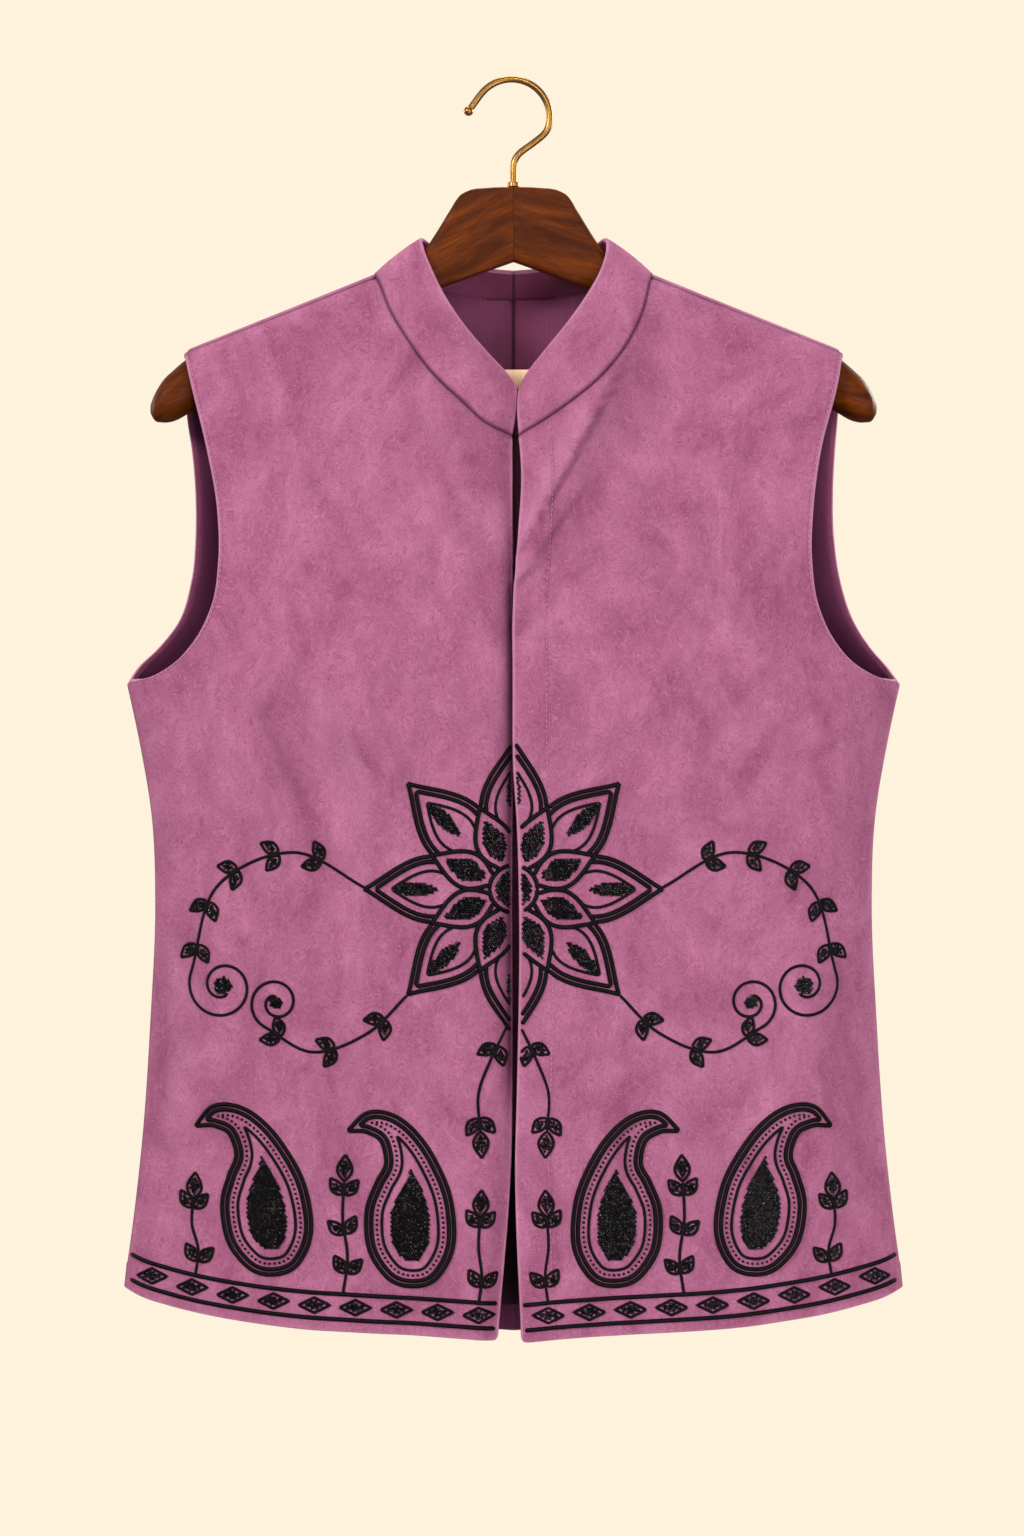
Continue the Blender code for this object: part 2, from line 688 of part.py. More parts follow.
def make_lining(name, back):
    """The back's lining: the back's own points moved in, short of the hem and the armholes."""
    grid = back.grid + back.inward * (CLOTH + GAP)
    inward = back.inward.copy()
    turn = HEM_TURN / np.linalg.norm(grid[1] - grid[0], axis=1)[:, None]
    grid[0] = grid[0] * (1 - turn) + grid[1] * turn
    armhole = slice(ROWS[BACK][0] + 1, None)
    grid[armhole, -1] = pull_back(grid[armhole, -1], grid[armhole, -2], ARMHOLE_TURN)
    return make_wall(name, Cloth(grid, inward), LINING, LINING_CLOTH)


def make_underlap(front):
    """The strip behind the right front's edge that passes under the left front."""
    edge = front.grid + front.inward * (CLOTH + GAP)
    last = int(np.argmin(np.abs(front.grid[:, 0, 2] - UNDERLAP_END)))
    rows = slice(last, sum(ROWS[FRONT][:2]))
    inner, outer = edge[rows, 1], edge[rows, 0]
    far = outer.copy()
    far[:, 0] = UNDERLAP_REACH
    far[:, 1] += UNDERLAP_SINK
    middle = (outer + far) / 2
    start = inner * UNDERLAP_START + outer * (1 - UNDERLAP_START)
    grid = np.stack([start, outer, middle, far], 1)
    inward = np.zeros_like(grid)
    inward[..., 1] = 1
    return make_wall("front_right_underlap", Cloth(grid, inward), UNDERLAP_WALL, SUEDE)


def make_jacket():
    for side in (RIGHT, LEFT):
        name = side_name(side)
        front, back, collar = jacket_half(side)
        make_wall(f"front_{name}", front, CLOTH, SUEDE)
        make_wall(f"back_{name}", back, CLOTH, SUEDE)
        make_wall(f"collar_{name}", collar, COLLAR_WALL, SUEDE)
        make_lining(f"lining_back_{name}", back)
        if side == RIGHT:
            make_underlap(front)


# ---- The hanger --------------------------------------------------------------------------------------


def arm_centre(out):
    return -SWEEP * (out / TIP) ** 2


def make_arm(side):
    """An arm as a loft of rounded upright sections from the glued joint to the tip."""
    shape = bmesh.new()
    turns = (np.arange(ARM_POINTS) + 0.5) / ARM_POINTS * 2 * math.pi
    rings = []
    for station in ARM:
        across, up = (
            np.sign(wave) * np.abs(wave) ** (2 / station.squareness)
            for wave in (np.sin(turns), np.cos(turns))
        )
        middle, tall = (station.top + station.bottom) / 2, (station.top - station.bottom) / 2
        y = arm_centre(station.out) + station.half * across
        z = middle + tall * up
        x = np.full_like(y, side * station.out)
        rings.append([shape.verts.new(point * MM) for point in np.stack([x, y, z], -1)])
    for first, second in zip(rings, rings[1:]):
        for k in range(ARM_POINTS):
            after = (k + 1) % ARM_POINTS
            shape.faces.new((first[k], first[after], second[after], second[k]))
    shape.faces.new(rings[0])
    shape.faces.new(rings[-1])
    bmesh.ops.recalc_face_normals(shape, faces=shape.faces)
    name = f"hanger_arm_{side_name(side)}"
    mesh = bpy.data.meshes.new(name)
    shape.to_mesh(mesh)
    shape.free()
    made = new_object(name, mesh, WALNUT)
    smooth_shade(made)
    return made


def rod(name, radius, half_length, y, z, collection):
    """A round rod along X, centred on the hanger."""
    bpy.ops.mesh.primitive_cylinder_add(
        vertices=ROUND_SIDES,
        radius=radius * MM,
        depth=2 * half_length * MM,
        location=(0, y * MM, z * MM),
        rotation=(0, math.pi / 2, 0),
    )
    made = bpy.context.object
    made.name = made.data.name = name
    for owner in list(made.users_collection):
        owner.objects.unlink(made)
    bpy.data.collections[collection].objects.link(made)
    return made


def make_hanger():
    y = arm_centre(BAR_HALF)
    bar = rod("trouser_bar", BAR_RADIUS, BAR_HALF, y, BAR_HEIGHT, "Jacket")
    bar.data.materials.append(material(PALE_WOOD))
    smooth_shade(bar)
    socket = rod("bar_socket", BAR_RADIUS + GAP, BAR_HALF + GAP, y, BAR_HEIGHT, "Cutters")
    socket.hide_render = True
    socket.display_type = "WIRE"
    for side in (RIGHT, LEFT):
        arm = make_arm(side)
        cut = arm.modifiers.new("Bar socket", "BOOLEAN")
        cut.operation = "DIFFERENCE"
        cut.object = socket


# ---- The hook ------------------------------------------------------------------------------------------


def hook_path():
    """The wire's centre line from the ball to the shank's end, and how much it swells there."""
    centre = np.array([HOOK_SIDE, -(HOOK_RADIUS - WIRE)])
    turns = np.radians(np.linspace(HOOK_FROM, HOOK_TO, ARC_POINTS))
    arc = centre + HOOK_RADIUS * np.stack([np.cos(turns), np.sin(turns)], -1)
    shank = smooth_path(np.concatenate([arc[-2:], column(SHANK, "x", "z")]))
    bend = along(shank, np.linspace(0, 1, BEND_POINTS))[3:]  # past the arc's own last points
    # The wire swells to a ball at its open end.
    onward = np.array([-math.sin(turns[0]), math.cos(turns[0])])
    ball = arc[0] + onward * TIP_RUN
    round_ball = np.linspace(
        math.radians(BALL_CAP), math.pi - math.asin(WIRE / BALL_RADIUS), BALL_POINTS
    )
    swollen = ball + onward * BALL_RADIUS * np.cos(round_ball)[:, None]
    path = np.concatenate([swollen, arc, bend, [[0.0, SHANK_END]]])
    swell = np.ones(len(path))
    swell[: len(round_ball)] = BALL_RADIUS * np.sin(round_ball) / WIRE
    return path, swell


def make_hook():
    path, swell = hook_path()
    curve = bpy.data.curves.new("hook", "CURVE")
    curve.dimensions = "3D"
    curve.bevel_depth = WIRE * MM
    curve.bevel_resolution = 3
    curve.use_fill_caps = True
    spline = curve.splines.new("POLY")
    spline.points.add(len(path) - 1)
    for point, (x, z), size in zip(spline.points, path, swell):
        point.co = (x * MM, 0, z * MM, 1)
        point.radius = size
    made = bpy.data.objects.new("hook", curve)
    curve.materials.append(material(BRASS))
    bpy.data.collections["Jacket"].objects.link(made)
    return made


def make_ferrule():
    """A ring round the shank, standing on the hanger's head."""
    foot = ARM[0].top + GAP
    bore = WIRE + GAP
    profile = (
        (bore, foot + FERRULE_HEIGHT),
        (FERRULE_RADIUS - FERRULE_EDGE, foot + FERRULE_HEIGHT),
        (FERRULE_RADIUS, foot + FERRULE_HEIGHT - FERRULE_EDGE),
        (FERRULE_RADIUS, foot),
        (bore, foot),
    )
    mesh = bpy.data.meshes.new("ferrule")
    count = len(profile)
    mesh.from_pydata(
        [(r * MM, 0, z * MM) for r, z in profile], [(k, (k + 1) % count) for k in range(count)], []
    )
    made = new_object("ferrule", mesh, BRASS)
    turn = made.modifiers.new("Turn", "SCREW")
    turn.steps = turn.render_steps = ROUND_SIDES
    turn.use_merge_vertices = True
    turn.merge_threshold = 0.00001
    turn.use_smooth_shade = False
    return made


def main():
    for thing in list(bpy.data.objects):
        bpy.data.objects.remove(thing, do_unlink=True)
    for name in ("Jacket", "Cutters"):
        bpy.context.scene.collection.children.link(bpy.data.collections.new(name))
    make_jacket()
    make_hanger()
    make_hook()
    make_ferrule()


main()
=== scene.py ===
"""The looks of a sleeveless jacket with a stand collar on its wooden hanger.

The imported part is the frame. Each cloth node gets a finer shell of the same form, worked out from
the same tables as the part, with softer creases, rounded and turned edges, stitches, and a corded
and beaded ornament of the builder's own design. Sizes below are in millimetres; "out" is the
distance sideways from the centre line, so that one table can serve both halves.
"""

import math
from collections import namedtuple

import bpy
import numpy as np
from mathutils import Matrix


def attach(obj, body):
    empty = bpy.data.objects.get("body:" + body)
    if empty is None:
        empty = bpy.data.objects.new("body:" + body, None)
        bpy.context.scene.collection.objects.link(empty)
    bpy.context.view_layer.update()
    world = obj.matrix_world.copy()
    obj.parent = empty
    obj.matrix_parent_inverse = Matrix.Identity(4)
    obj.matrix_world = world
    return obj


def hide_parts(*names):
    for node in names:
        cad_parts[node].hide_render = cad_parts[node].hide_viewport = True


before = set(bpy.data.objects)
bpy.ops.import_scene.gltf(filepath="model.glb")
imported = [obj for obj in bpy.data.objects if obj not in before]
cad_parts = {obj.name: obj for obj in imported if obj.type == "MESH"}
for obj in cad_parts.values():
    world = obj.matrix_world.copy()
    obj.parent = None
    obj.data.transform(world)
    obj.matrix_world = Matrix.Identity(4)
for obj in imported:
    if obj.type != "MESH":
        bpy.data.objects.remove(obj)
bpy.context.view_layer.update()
MM = 0.001


def table(columns, *rows):
    """A table with named columns, from its rows."""
    row = namedtuple("Row", columns)
    return tuple(row(*values) for values in rows)


# ---- Driving dimensions --------------------------------------------------------------------------

CLOTH = 2.4  # suede with its fusing
LINING = 1.0
COLLAR_WALL = 3.0
GAP = 0.3  # between pieces that touch
RIGHT, LEFT = -1, 1  # the wearer's sides, as signs of X
FRONT, BACK = -1, 1  # as signs of Y

# The ridge is the top line of the cloth where it bends over the hanger's arms.
RIDGE_TOP = -86.6  # where the two shoulder lines would meet, above the neck
RIDGE_SLOPE = 0.409
ROLL = 22.0  # height in which the cloth turns from the ridge to hanging plumb
REACH = 190.0  # height in which it widens from the hanger's depth to the chest's
SWEEP = 8.0  # how far forward the hanger's tips stand
TIP = 230.0
SHOULDER_SEAM = 11.5  # along the cloth, forward of the ridge

# Level sections of the jacket: half its width, and its depth to the front and to the back.
SECTIONS = table(
    "z half_width front back",
    (-110, 310, 46, 40),
    (-160, 300, 47, 42),
    (-230, 286, 50, 44),
    (-300, 268, 55, 48),
    (-384, 247.7, 57, 49),
    (-421, 239.7, 56, 48),
    (-472, 231.4, 54, 45),
    (-523, 229.4, 51, 41),
    (-600, 232.5, 47, 38),
    (-677, 237.8, 43, 36),
    (-728, 243.5, 41, 35),
    (-770, 249.3, 39, 34),
    (-806, 253.5, 38, 34),
)
FLATNESS = 2.8  # exponent of a section: higher is flatter across the chest
EDGE_TURN = 0.58  # and lower is rounder at the side seam
SEAM_CALM = 0.04  # share of the half width, beside the side seam, where folds die out

# Depth of the cloth just under the ridge: on the arms, and round the open neck.
HOLDS = table(
    "out front back",
    (-20, 52, 45),
    (0, 52, 45),
    (30, 48, 42),
    (55, 37, 34),
    (75, 24, 23),
    (90, 17, 16.5),
    (120, 16, 16),
    (160, 18.5, 18.5),
    (210, 23, 23),
    (260, 24, 24),
)

# Edges of the pieces. "right" and "left" are distances out from the centre line on each side.
CENTRE_FRONT = table(
    "z right left",
    (-228.6, 0.4, 3.1),
    (-254, 0.4, 4.7),
    (-290, 0.4, 2.6),
    (-327, 0.2, 0),
    (-384, -0.6, -0.6),
    (-440, -0.2, -0.2),
    (-470, 0.3, 1.7),
    (-648, 0.5, 1.9),
    (-680, 0.9, 1),
    (-804, 9.9, 4.8),
)
FRONT_NECK = table(
    "z right left",
    (-222, 16.1, 14.6),
    (-207, 32.7, 36.5),
    (-191, 49.5, 55.2),
    (-168, 66.8, 73),
    (-147, 79, 82.6),
)
SEAM_AT_NECK = 88.0
SEAM_AT_TIP = 210.0
# The back's armhole between the two: how far down from the ridge, and how far out past the seam.
BACK_TIP = ((ROLL, 0.4), (0.0, 0.6))
FRONT_ARMHOLE = table(
    "z right left",
    (-198, 203.9, 205),
    (-237, 194.4, 195),
    (-276, 187.6, 189.7),
    (-308, 186.8, 188.9),
    (-337, 191.4, 193.3),
    (-355, 200, 201.5),
    (-370, 212.7, 213.5),
    (-380, 228.8, 229.5),
)
BACK_ARMHOLE = table(
    "z right left",
    (-213, 210.2, 208.8),
    (-235, 207.2, 207.2),
    (-262, 205.3, 206.2),
    (-290, 205.6, 207.2),
    (-318, 208.5, 211.4),
    (-345, 216.9, 220.4),
    (-363, 230.6, 231.5),
    (-375, 242.3, 241.5),
)
UNDERARM = -384.4  # height of the point where the side seam meets both armholes

HEM = table(
    "out z",
    (-10, -802.9),
    (0, -802.6),
    (30, -800),
    (65, -797.6),
    (99, -796),
    (134, -793.9),
    (169, -790),
    (199, -785.2),
    (220, -780.6),
    (238, -775.6),
    (249.4, -770.6),
)

# The back's neckline, as a distance "down" along the cloth from the ridge.
BACK_NECK = table(
    "out down",
    (SEAM_AT_NECK, -SHOULDER_SEAM),
    (89.5, 0),
    (87, 9),
    (80, 18),
    (64, 29.5),
    (46, 39),
    (24, 50.5),
    (0, 60.8),
)

# The collar's free edge, from its tip at the centre front round to the centre back.
COLLAR_TOP = table(
    "z right left y",
    (-196, -2.6, 3.2, -29),
    (-188.5, 3.2, 7.6, -28.5),
    (-174, 16.4, 18.6, -27),
    (-154, 32.8, 34.6, -24),
    (-138, 43.2, 45.8, -20.5),
    (-120, 52, 55.6, -15),
    (-106, 57.4, 59.4, -8.5),
    (-98.7, 58.6, 58.6, 3.5),
    (-102, 52.5, 52.5, 12),
    (-110, 37, 37, 16.5),
    (-116, 19, 19, 18.5),
    (-118, 0, 0, 19),
)
PEAK_ROW = 7  # the row of COLLAR_TOP above the ridge
COLLAR_BULGE = 1.2

# Folds run straight from one end to the other and fade there. "x" is the world's, so a fold
# can cross a seam. "out" is how far the cloth stands out, and a trough's is negative.
FOLDS = table(
    "face x0 z0 x1 z1 half_width out",
    (FRONT, 70, -170, -4, -322, 14, 1.5),
    (FRONT, 92, -206, 22, -326, 14, -0.9),
    (FRONT, 20, -336, -2, -364, 8, -1.6),
    (FRONT, 80, -292, 142, -352, 15, -1.6),
    (FRONT, 96, -286, 160, -338, 15, 1.2),
    (FRONT, -58, -190, -14, -276, 12, 1.6),
    (FRONT, -38, -262, -8, -322, 11, -1.8),
    (FRONT, -190, -372, -132, -498, 16, 1.6),
    (FRONT, -156, -380, -96, -500, 17, -3.2),
    (FRONT, -116, -380, -68, -474, 11, 1.5),
    (FRONT, 150, -400, 118, -510, 20, -1.6),
    (FRONT, -186, -520, -196, -740, 24, 1.8),
    (FRONT, 178, -540, 192, -750, 24, 2),
    (FRONT, -96, -600, -104, -812, 26, -1.6),
    (FRONT, 84, -620, 92, -815, 24, -1.5),
    (BACK, -150, -236, -66, -330, 15, -2.6),
    (BACK, 146, -228, 70, -342, 16, -2.8),
    (BACK, -118, -250, -40, -350, 17, 2.2),
    (BACK, 112, -260, 34, -372, 18, 2.4),
    (BACK, -206, -410, -120, -500, 18, -3),
    (BACK, 204, -420, 128, -516, 18, -2.8),
    (BACK, -110, -480, -128, -790, 27, 3.2),
    (BACK, 88, -500, 104, -800, 27, 3),
    (BACK, -60, -560, -64, -815, 24, -2.6),
    (BACK, 46, -580, 44, -815, 22, -2.4),
    (BACK, 176, -560, 184, -800, 24, -2.4),
)
FOLD_FADE = 1.2  # exponent of the fade toward a fold's ends
CREASE_FADE = 0.8
FOLD_GAIN = 1.7
EDGE_DIP = 8.0  # how far the right front's edge sinks to pass under the left front
DIP_WIDTH = 14.0

UNDERLAP_WALL = 1.6
UNDERLAP_REACH = 15.0  # past the centre line, under the left front
UNDERLAP_SINK = 1.2
UNDERLAP_END = -673.5
HEM_TURN = 17.0  # the lining stops this far above the back's hem
ARMHOLE_TURN = 3.2  # and this far inside its armholes

# The hanger's arm from the glued centre joint to the tip: its heights, half its thickness, and the
# exponent of its section, which is a board with rounded edges at the head and round at the tip.
ARM = table(
    "out top bottom half squareness",
    (0.15, -67.5, -114.7, 7.5, 5),
    (16, -68, -120.4, 7.5, 5),
    (31, -70.8, -125.9, 7.5, 5),
    (34.5, -73.2, -127.2, 7.5, 5),
    (40, -81.2, -129.2, 7.5, 4.6),
    (49, -95.8, -132.5, 7.6, 3.8),
    (57, -107.6, -135.5, 7.9, 3),
    (72, -120.4, -141.9, 8.4, 2.6),
    (92, -129, -152.2, 9, 2.3),
    (120, -140.4, -166.4, 9.6, 2.15),
    (150, -152.7, -182.2, 11.6, 2.15),
    (180, -165, -198, 14, 2.15),
    (205, -175.2, -210.8, 16, 2.15),
    (217, -185, -217.4, 16, 2.15),
    (224.5, -192.8, -218.2, 14.2, 2.15),
    (229.5, -201.8, -216.4, 10, 2.15),
    (231.4, -206.6, -213, 4.6, 2.15),
)
BAR_RADIUS = 6.0
BAR_HEIGHT = -190.2
BAR_HALF = 176.0

WIRE = 2.2
HOOK_RADIUS = 24.6
HOOK_SIDE = -1.3  # the hook's centre is this far from the shank
HOOK_FROM, HOOK_TO = 145.0, -8.0  # degrees, anticlockwise from +X
SHANK = table(
    "x z",
    (21.6, -31),
    (15.6, -36.6),
    (8.6, -41.8),
    (2.8, -46.2),
    (0.2, -51),
    (0, -57),
)
SHANK_END = -67.1
BALL_RADIUS = 3.1
TIP_RUN = 12.4  # straight from the end of the arc to the ball's centre
FERRULE_RADIUS = 3.8
FERRULE_HEIGHT = 3.2
FERRULE_EDGE = 0.5

# ---- Grids ---------------------------------------------------------------------------------------

# Rows from the hem to the underarm, from there to the neck, and along the neckline.
ROWS = {FRONT: (96, 56, 46), BACK: (84, 50, 44)}
UNDERARM_ROW = {face: counts[0] for face, counts in ROWS.items()}
NECK_ROW = {face: sum(counts[:2]) for face, counts in ROWS.items()}  # the neckline's first
MIDDLE_COLUMNS = {FRONT: 92, BACK: 50}
PATH_POINTS = 400  # along a smooth path
CORNER_STOPS = (0.0, 1.0, 2.2, 3.6, 5.4)  # distances of rows from the hem, and from the underarm
# Distances in from a panel's two long edges of the columns that shape its turned edges.
INNER_STOPS = (0.0, 1.8, 3.2, 5.5, 9.0, 14.0, 18.6, 20.2, 21.0, 21.6, 22.2, 23.0, 25.0)
OUTER_STOPS = (0.0, 1.5, 2.1, 2.6, 3.1, 4.0, 6.0)
# Distances down from the ridge of the last rows, which follow the shoulder.
ROLL_ROWS = {
    FRONT: tuple(np.linspace(34.0, SHOULDER_SEAM, 10)),
    BACK: (*np.linspace(36.0, 0.0, 15), *np.linspace(-2.3, -SHOULDER_SEAM, 5)),
}
ARMHOLE_SHARE = {FRONT: 0.5, BACK: 0.66}  # of the armhole, beside the middle rows
COLLAR_ROWS = 16

# ---- The shells' finer sizes ---------------------------------------------------------------------

# Fine creases, which only the finer shells have. Each runs down from its first end to its second, and
# bows toward the wearer's right. Its "before" and "after" are how wide it is on its wearer's right and
# left, so that a narrow side falls steeply.
CREASES = table(
    "face x0 z0 x1 z1 bow before after out",
    (FRONT, 75, -170, -6, -318, -1.5, 9, 2.4, 2.4),
    (FRONT, 46, -258, -6, -336, 1.5, 8, 3, 1.3),
    (FRONT, 24, -304, -10, -330, 0.5, 5, 2.2, 0.8),
    (FRONT, 30, -212, 2, -262, 2, 7, 4, 0.7),
    (FRONT, 20, -246, 4, -292, -1, 5, 3.5, -0.7),
    (FRONT, -64, -190, 4, -240, -3, 3, 8, 1),
    (FRONT, -26, -225, 6, -238, 1, 1.6, 1.6, -0.8),
    (FRONT, -20, -262, -3, -330, 1, 6, 9, -2),
    (FRONT, -172, -384, -118, -494, 3, 12, 6, 1.8),
    (FRONT, -126, -376, -84, -466, -3, 6, 7, 1.6),
    (FRONT, -196, -388, -150, -452, 3, 9, 5, 1.3),
    (FRONT, -100, -384, -66, -446, 2, 8, 4.5, 1),
    (FRONT, -132, -236, -96, -292, 4, 7, 5, -1.3),
    (FRONT, -88, -250, -52, -330, -4, 9, 6, 1.2),
    (FRONT, -72, -372, -30, -410, 2, 8, 6, -1.1),
    (FRONT, 84, -290, 152, -346, -3, 4.5, 7, -1.5),
    (FRONT, 78, -312, 132, -356, -2, 4, 6, -1.1),
    (FRONT, 112, -318, 168, -372, 3, 6, 8, 1.1),
    (FRONT, 14, -292, 34, -340, 2, 6, 5, -1),
    (FRONT, 176, -396, 132, -462, 4, 9, 6, 1.3),
    (FRONT, 150, -388, 118, -442, 3, 7, 5, -1),
    (FRONT, -214, -600, -222, -700, 3, 9, 7, -1.3),
    (FRONT, 212, -560, 222, -680, -3, 8, 9, -1.3),
    (FRONT, -150, -650, -158, -780, 4, 11, 8, 1.2),
    (FRONT, 140, -640, 150, -790, -4, 11, 9, 1.2),
    (FRONT, -66, -610, -58, -720, 4, 9, 8, -1),
    (FRONT, 58, -690, 62, -800, -3, 8, 8, -1),
    (BACK, -140, -262, -92, -316, 4, 7, 4, 1.5),
    (BACK, 128, -258, 84, -322, -3, 4, 7, 1.5),
    (BACK, -186, -440, -140, -486, 3, 7, 4, 1.6),
    (BACK, 182, -452, 136, -504, -4, 4, 7.5, 1.6),
    (BACK, -90, -600, -96, -740, 5, 10, 7, 1.5),
    (BACK, 70, -620, 76, -760, -5, 7, 10, 1.4),
    (BACK, -26, -330, -18, -430, 3, 8, 6, -1.2),
    (BACK, 30, -350, 22, -440, -3, 8, 6, -1.2),
)

DROOP, DROOP_REACH = 2.4, 5.0  # of the shoulder's end, over its turned edge
FILLET, UNDERARM_FILLET = 5.0, 3.6  # how far rounded corners reach along their edges
CORNER_POINTS = 9
TIP_BOW, TIP_BOW_REACH = 0.85, 12.0  # how far the collar's fronts bow toward each other
SEWN_OVERLAP = 0.1  # of pieces that are sewn together, so that no light comes through

WAVES, WAVE_SEED = 16, 41
WAVE_LENGTHS = (34.0, 120.0)
WAVE_HEIGHT = 0.14
WAVE_SHIFT = 500.0  # so that the back's waves differ from the front's

RIM_STEPS = 6
RIM_SHARE = 0.6  # of the room beside the rim that its rounding may take
EDGE_ROUND = 1.2
SEAM_ROUND = 0.5
NECK_ROUND = 0.7
COLLAR_ROUND = 1.3
LINING_ROUND = 0.3
EDGE_PUFF = 0.6
GROOVE_DEPTH, GROOVE_WIDTH = 0.6, 0.7  # of the line that stitches pull in
ARMHOLE_STITCH, FLY_STITCH, HEM_STITCH, FOOT_STITCH = 2.4, 21.6, 20.0, 3.0  # in from their edges
LINING_FADE = 60.0  # in from the lining's edges to where its points follow the back's again
LINING_TUCK = 0.9  # how far its neck edge reaches up behind the collar's foot
NECK_DIP, NECK_REACH = 1.2, 5.0  # the fronts sink beside the collar
UNDERLAP_COLUMN, UNDERLAP_COLUMNS = 4, 6  # the front's column where it starts, and its own

# Wear and painted light are above 0 where the nap is rubbed pale and where light is painted, and below
# 0 where the nap is pressed flat and where shade is painted. Each amount fades out over a reach.
WORN_HIGHLIGHT_REACH, SEAM_REACH = 1.0, 0.9
# Nap rubbed pale, with a painted highlight, along the folded edges of the opening, armholes and hem.
OPENING_WORN_HIGHLIGHT, ARMHOLE_WORN_HIGHLIGHT, HEM_WORN_HIGHLIGHT = 1.1, 1.3, 0.6
# Nap pressed down at the seams and stitch lines, with painted shade in their grooves.
NECK_PRESSED_SHADE, SEAM_PRESSED_SHADE, SIDE_PRESSED_SHADE, STITCH_PRESSED_SHADE = 0.75, 0.8, 0.5, 0.35
# The collar's edges are rubbed pale with a painted highlight, and its seams pressed with painted shade,
# outside and inside.
# From the collar's front edge, its centre back seam, its foot and its free edge.
COLLAR_WORN_HIGHLIGHT, COLLAR_PRESSED_SHADE, COLLAR_INSIDE_SHADE = (1, 0, 0, 1), (0, -0.8, -1, 0), (0, -2, -1.4, 0)
FOLD_SHADE_ACROSS, FOLD_SHADE_UP, FOLD_SHADE_MOST = 1.2, 0.5, 0.6  # how much painted light and shade a fold's slopes give
TUCK_SHADOW, TUCK_REACH, TUCK_POWER = 2.0, 5.2, 1.5  # painted shadow where the right front lies under the left
TUCK_TOP, TUCK_FOOT, TUCK_FADE = -256.0, -676.0, 50.0
# Painted shade on the fronts just below the collar's seam.
UNDER_COLLAR_SHADE, UNDER_COLLAR_REACH, UNDER_COLLAR_OUT = 0.45, 7.0, 62.0
PAINTED_LIGHT_REACH, PAINTED_LIGHT_Z, PAINTED_LIGHT_POWER = 74.0, -175.0, 3  # light is painted on the lining round the open neck
ARMHOLE_PAINTED_LIGHT, ARMHOLE_PAINTED_LIGHT_REACH = 0.62, 5.5  # and beside the armholes
LINING_SEAM = 1.1  # pressed down at the centre back
DEEP, DEEP_INSIDE = 1.8, 1.1  # deep shade behind the vent, on the lining and on the cloth's inner side
DEEP_TOP, DEEP_RISE, DEEP_REACH = -610.0, 60.0, 70.0

STITCH_PITCH, STITCH_LENGTH = 3.3, 2.5
STITCH_RADIUS, STITCH_RISE, STITCH_SIDES = 0.28, 0.02, 6
# A stitch from end to end, as shares of its length and of its radius.
STITCH = table("x size", (-0.5, 0.1), (-0.42, 0.7), (-0.2, 1), (0.2, 1), (0.42, 0.7), (0.5, 0.1))

SMALL_STEP = 0.5  # for finding which way a surface faces
CORD, THIN_CORD = 1.4, 0.95
CORD_STEP, CORD_SIDES = 1.2, 8
CORD_FLATNESS, CORD_RISE, CORD_END = 0.8, 0.45, 0.5
DOUBLE = 3.3  # between the two cords of a double line
INSET_CLEAR = 0.96  # share of an inset that its line keeps clear of the outline everywhere
SHORTEST_RUN = 4  # points in a cord's shortest part
# Points in an outline before the cords and beads are laid along it.
DISC_POINTS, PETAL_POINTS, BUTA_POINTS, LEAF_POINTS, EYE_POINTS = 120, 48, 180, 16, 24
STEM_POINTS, SCROLL_POINTS, BORDER_POINTS, LOZENGE_POINTS = 200, 90, 260, 41
BELLY, POINT = 0.85, 1.15  # exponents: a leaf is widest nearer its foot, and pointed
EDGE_CLEAR = 1.9  # between the ornament and a front's edge
BEAD_RADIUS, BEAD_RISE, BEAD_SIDES, BEAD_TILT = 0.92, 0.45, 6, 0.25
BEAD_PITCH, BEAD_UNEVEN, STRING_PITCH = 1.62, 0.15, 3.1
BEAD_SEED = 7
# A bead from its foot to its top, as shares of its radius.
BEAD = table("size height", (0.45, -0.8), (1, -0.25), (1, 0.25), (0.5, 0.8))

# The lotus that the front opening halves. A petal runs from a start to an end out from the centre.
ROSETTE = (0.0, -515.0)
PETALS = 8
DISC_RADIUS, DISC_MARGIN = 15.0, 3.6
PETAL = {
    "near": (12.0, 56.0, 11.4),  # start, end and half width
    "far": (18.0, 94.0, 20.5),
    "heart": (46.0, 80.0, 5.0),
}
PETAL_INSET, NEAR_MARGIN, HEART_MARGIN = 9.0, 4.4, 0.5
BORDER_LINES = (8.0, 24.0)  # above the hem
BORDER_FIRST, BORDER_LAST, BORDER_PITCH = 22.0, 236.0, 26.0  # of its lozenges
LOZENGE_LONG, LOZENGE_TALL, LOZENGE_MARGIN = 10.0, 4.8, 1.4
BORDER_END = 244.0

# A buta's outline from its curled tip round its foot: a share of its width and of its height.
BUTA_OUTLINE = table(
    "x z",
    (0.62, 0.90),
    (0.40, 0.99),
    (0.14, 0.98),
    (-0.12, 0.88),
    (-0.34, 0.70),
    (-0.49, 0.46),
    (-0.48, 0.22),
    (-0.27, 0.04),
    (0.02, 0),
    (0.31, 0.07),
    (0.48, 0.24),
    (0.47, 0.44),
    (0.33, 0.60),
    (0.21, 0.71),
    (0.24, 0.82),
    (0.38, 0.88),
)
BUTAS = table(
    "x z width height lean",
    (63, -766, 56, 112, 4),
    (150, -759, 56, 112, 10),
)
RING_INSET, STRING_INSET, HEART_INSET = 10.0, 6.8, 15.5  # inside a buta's outline
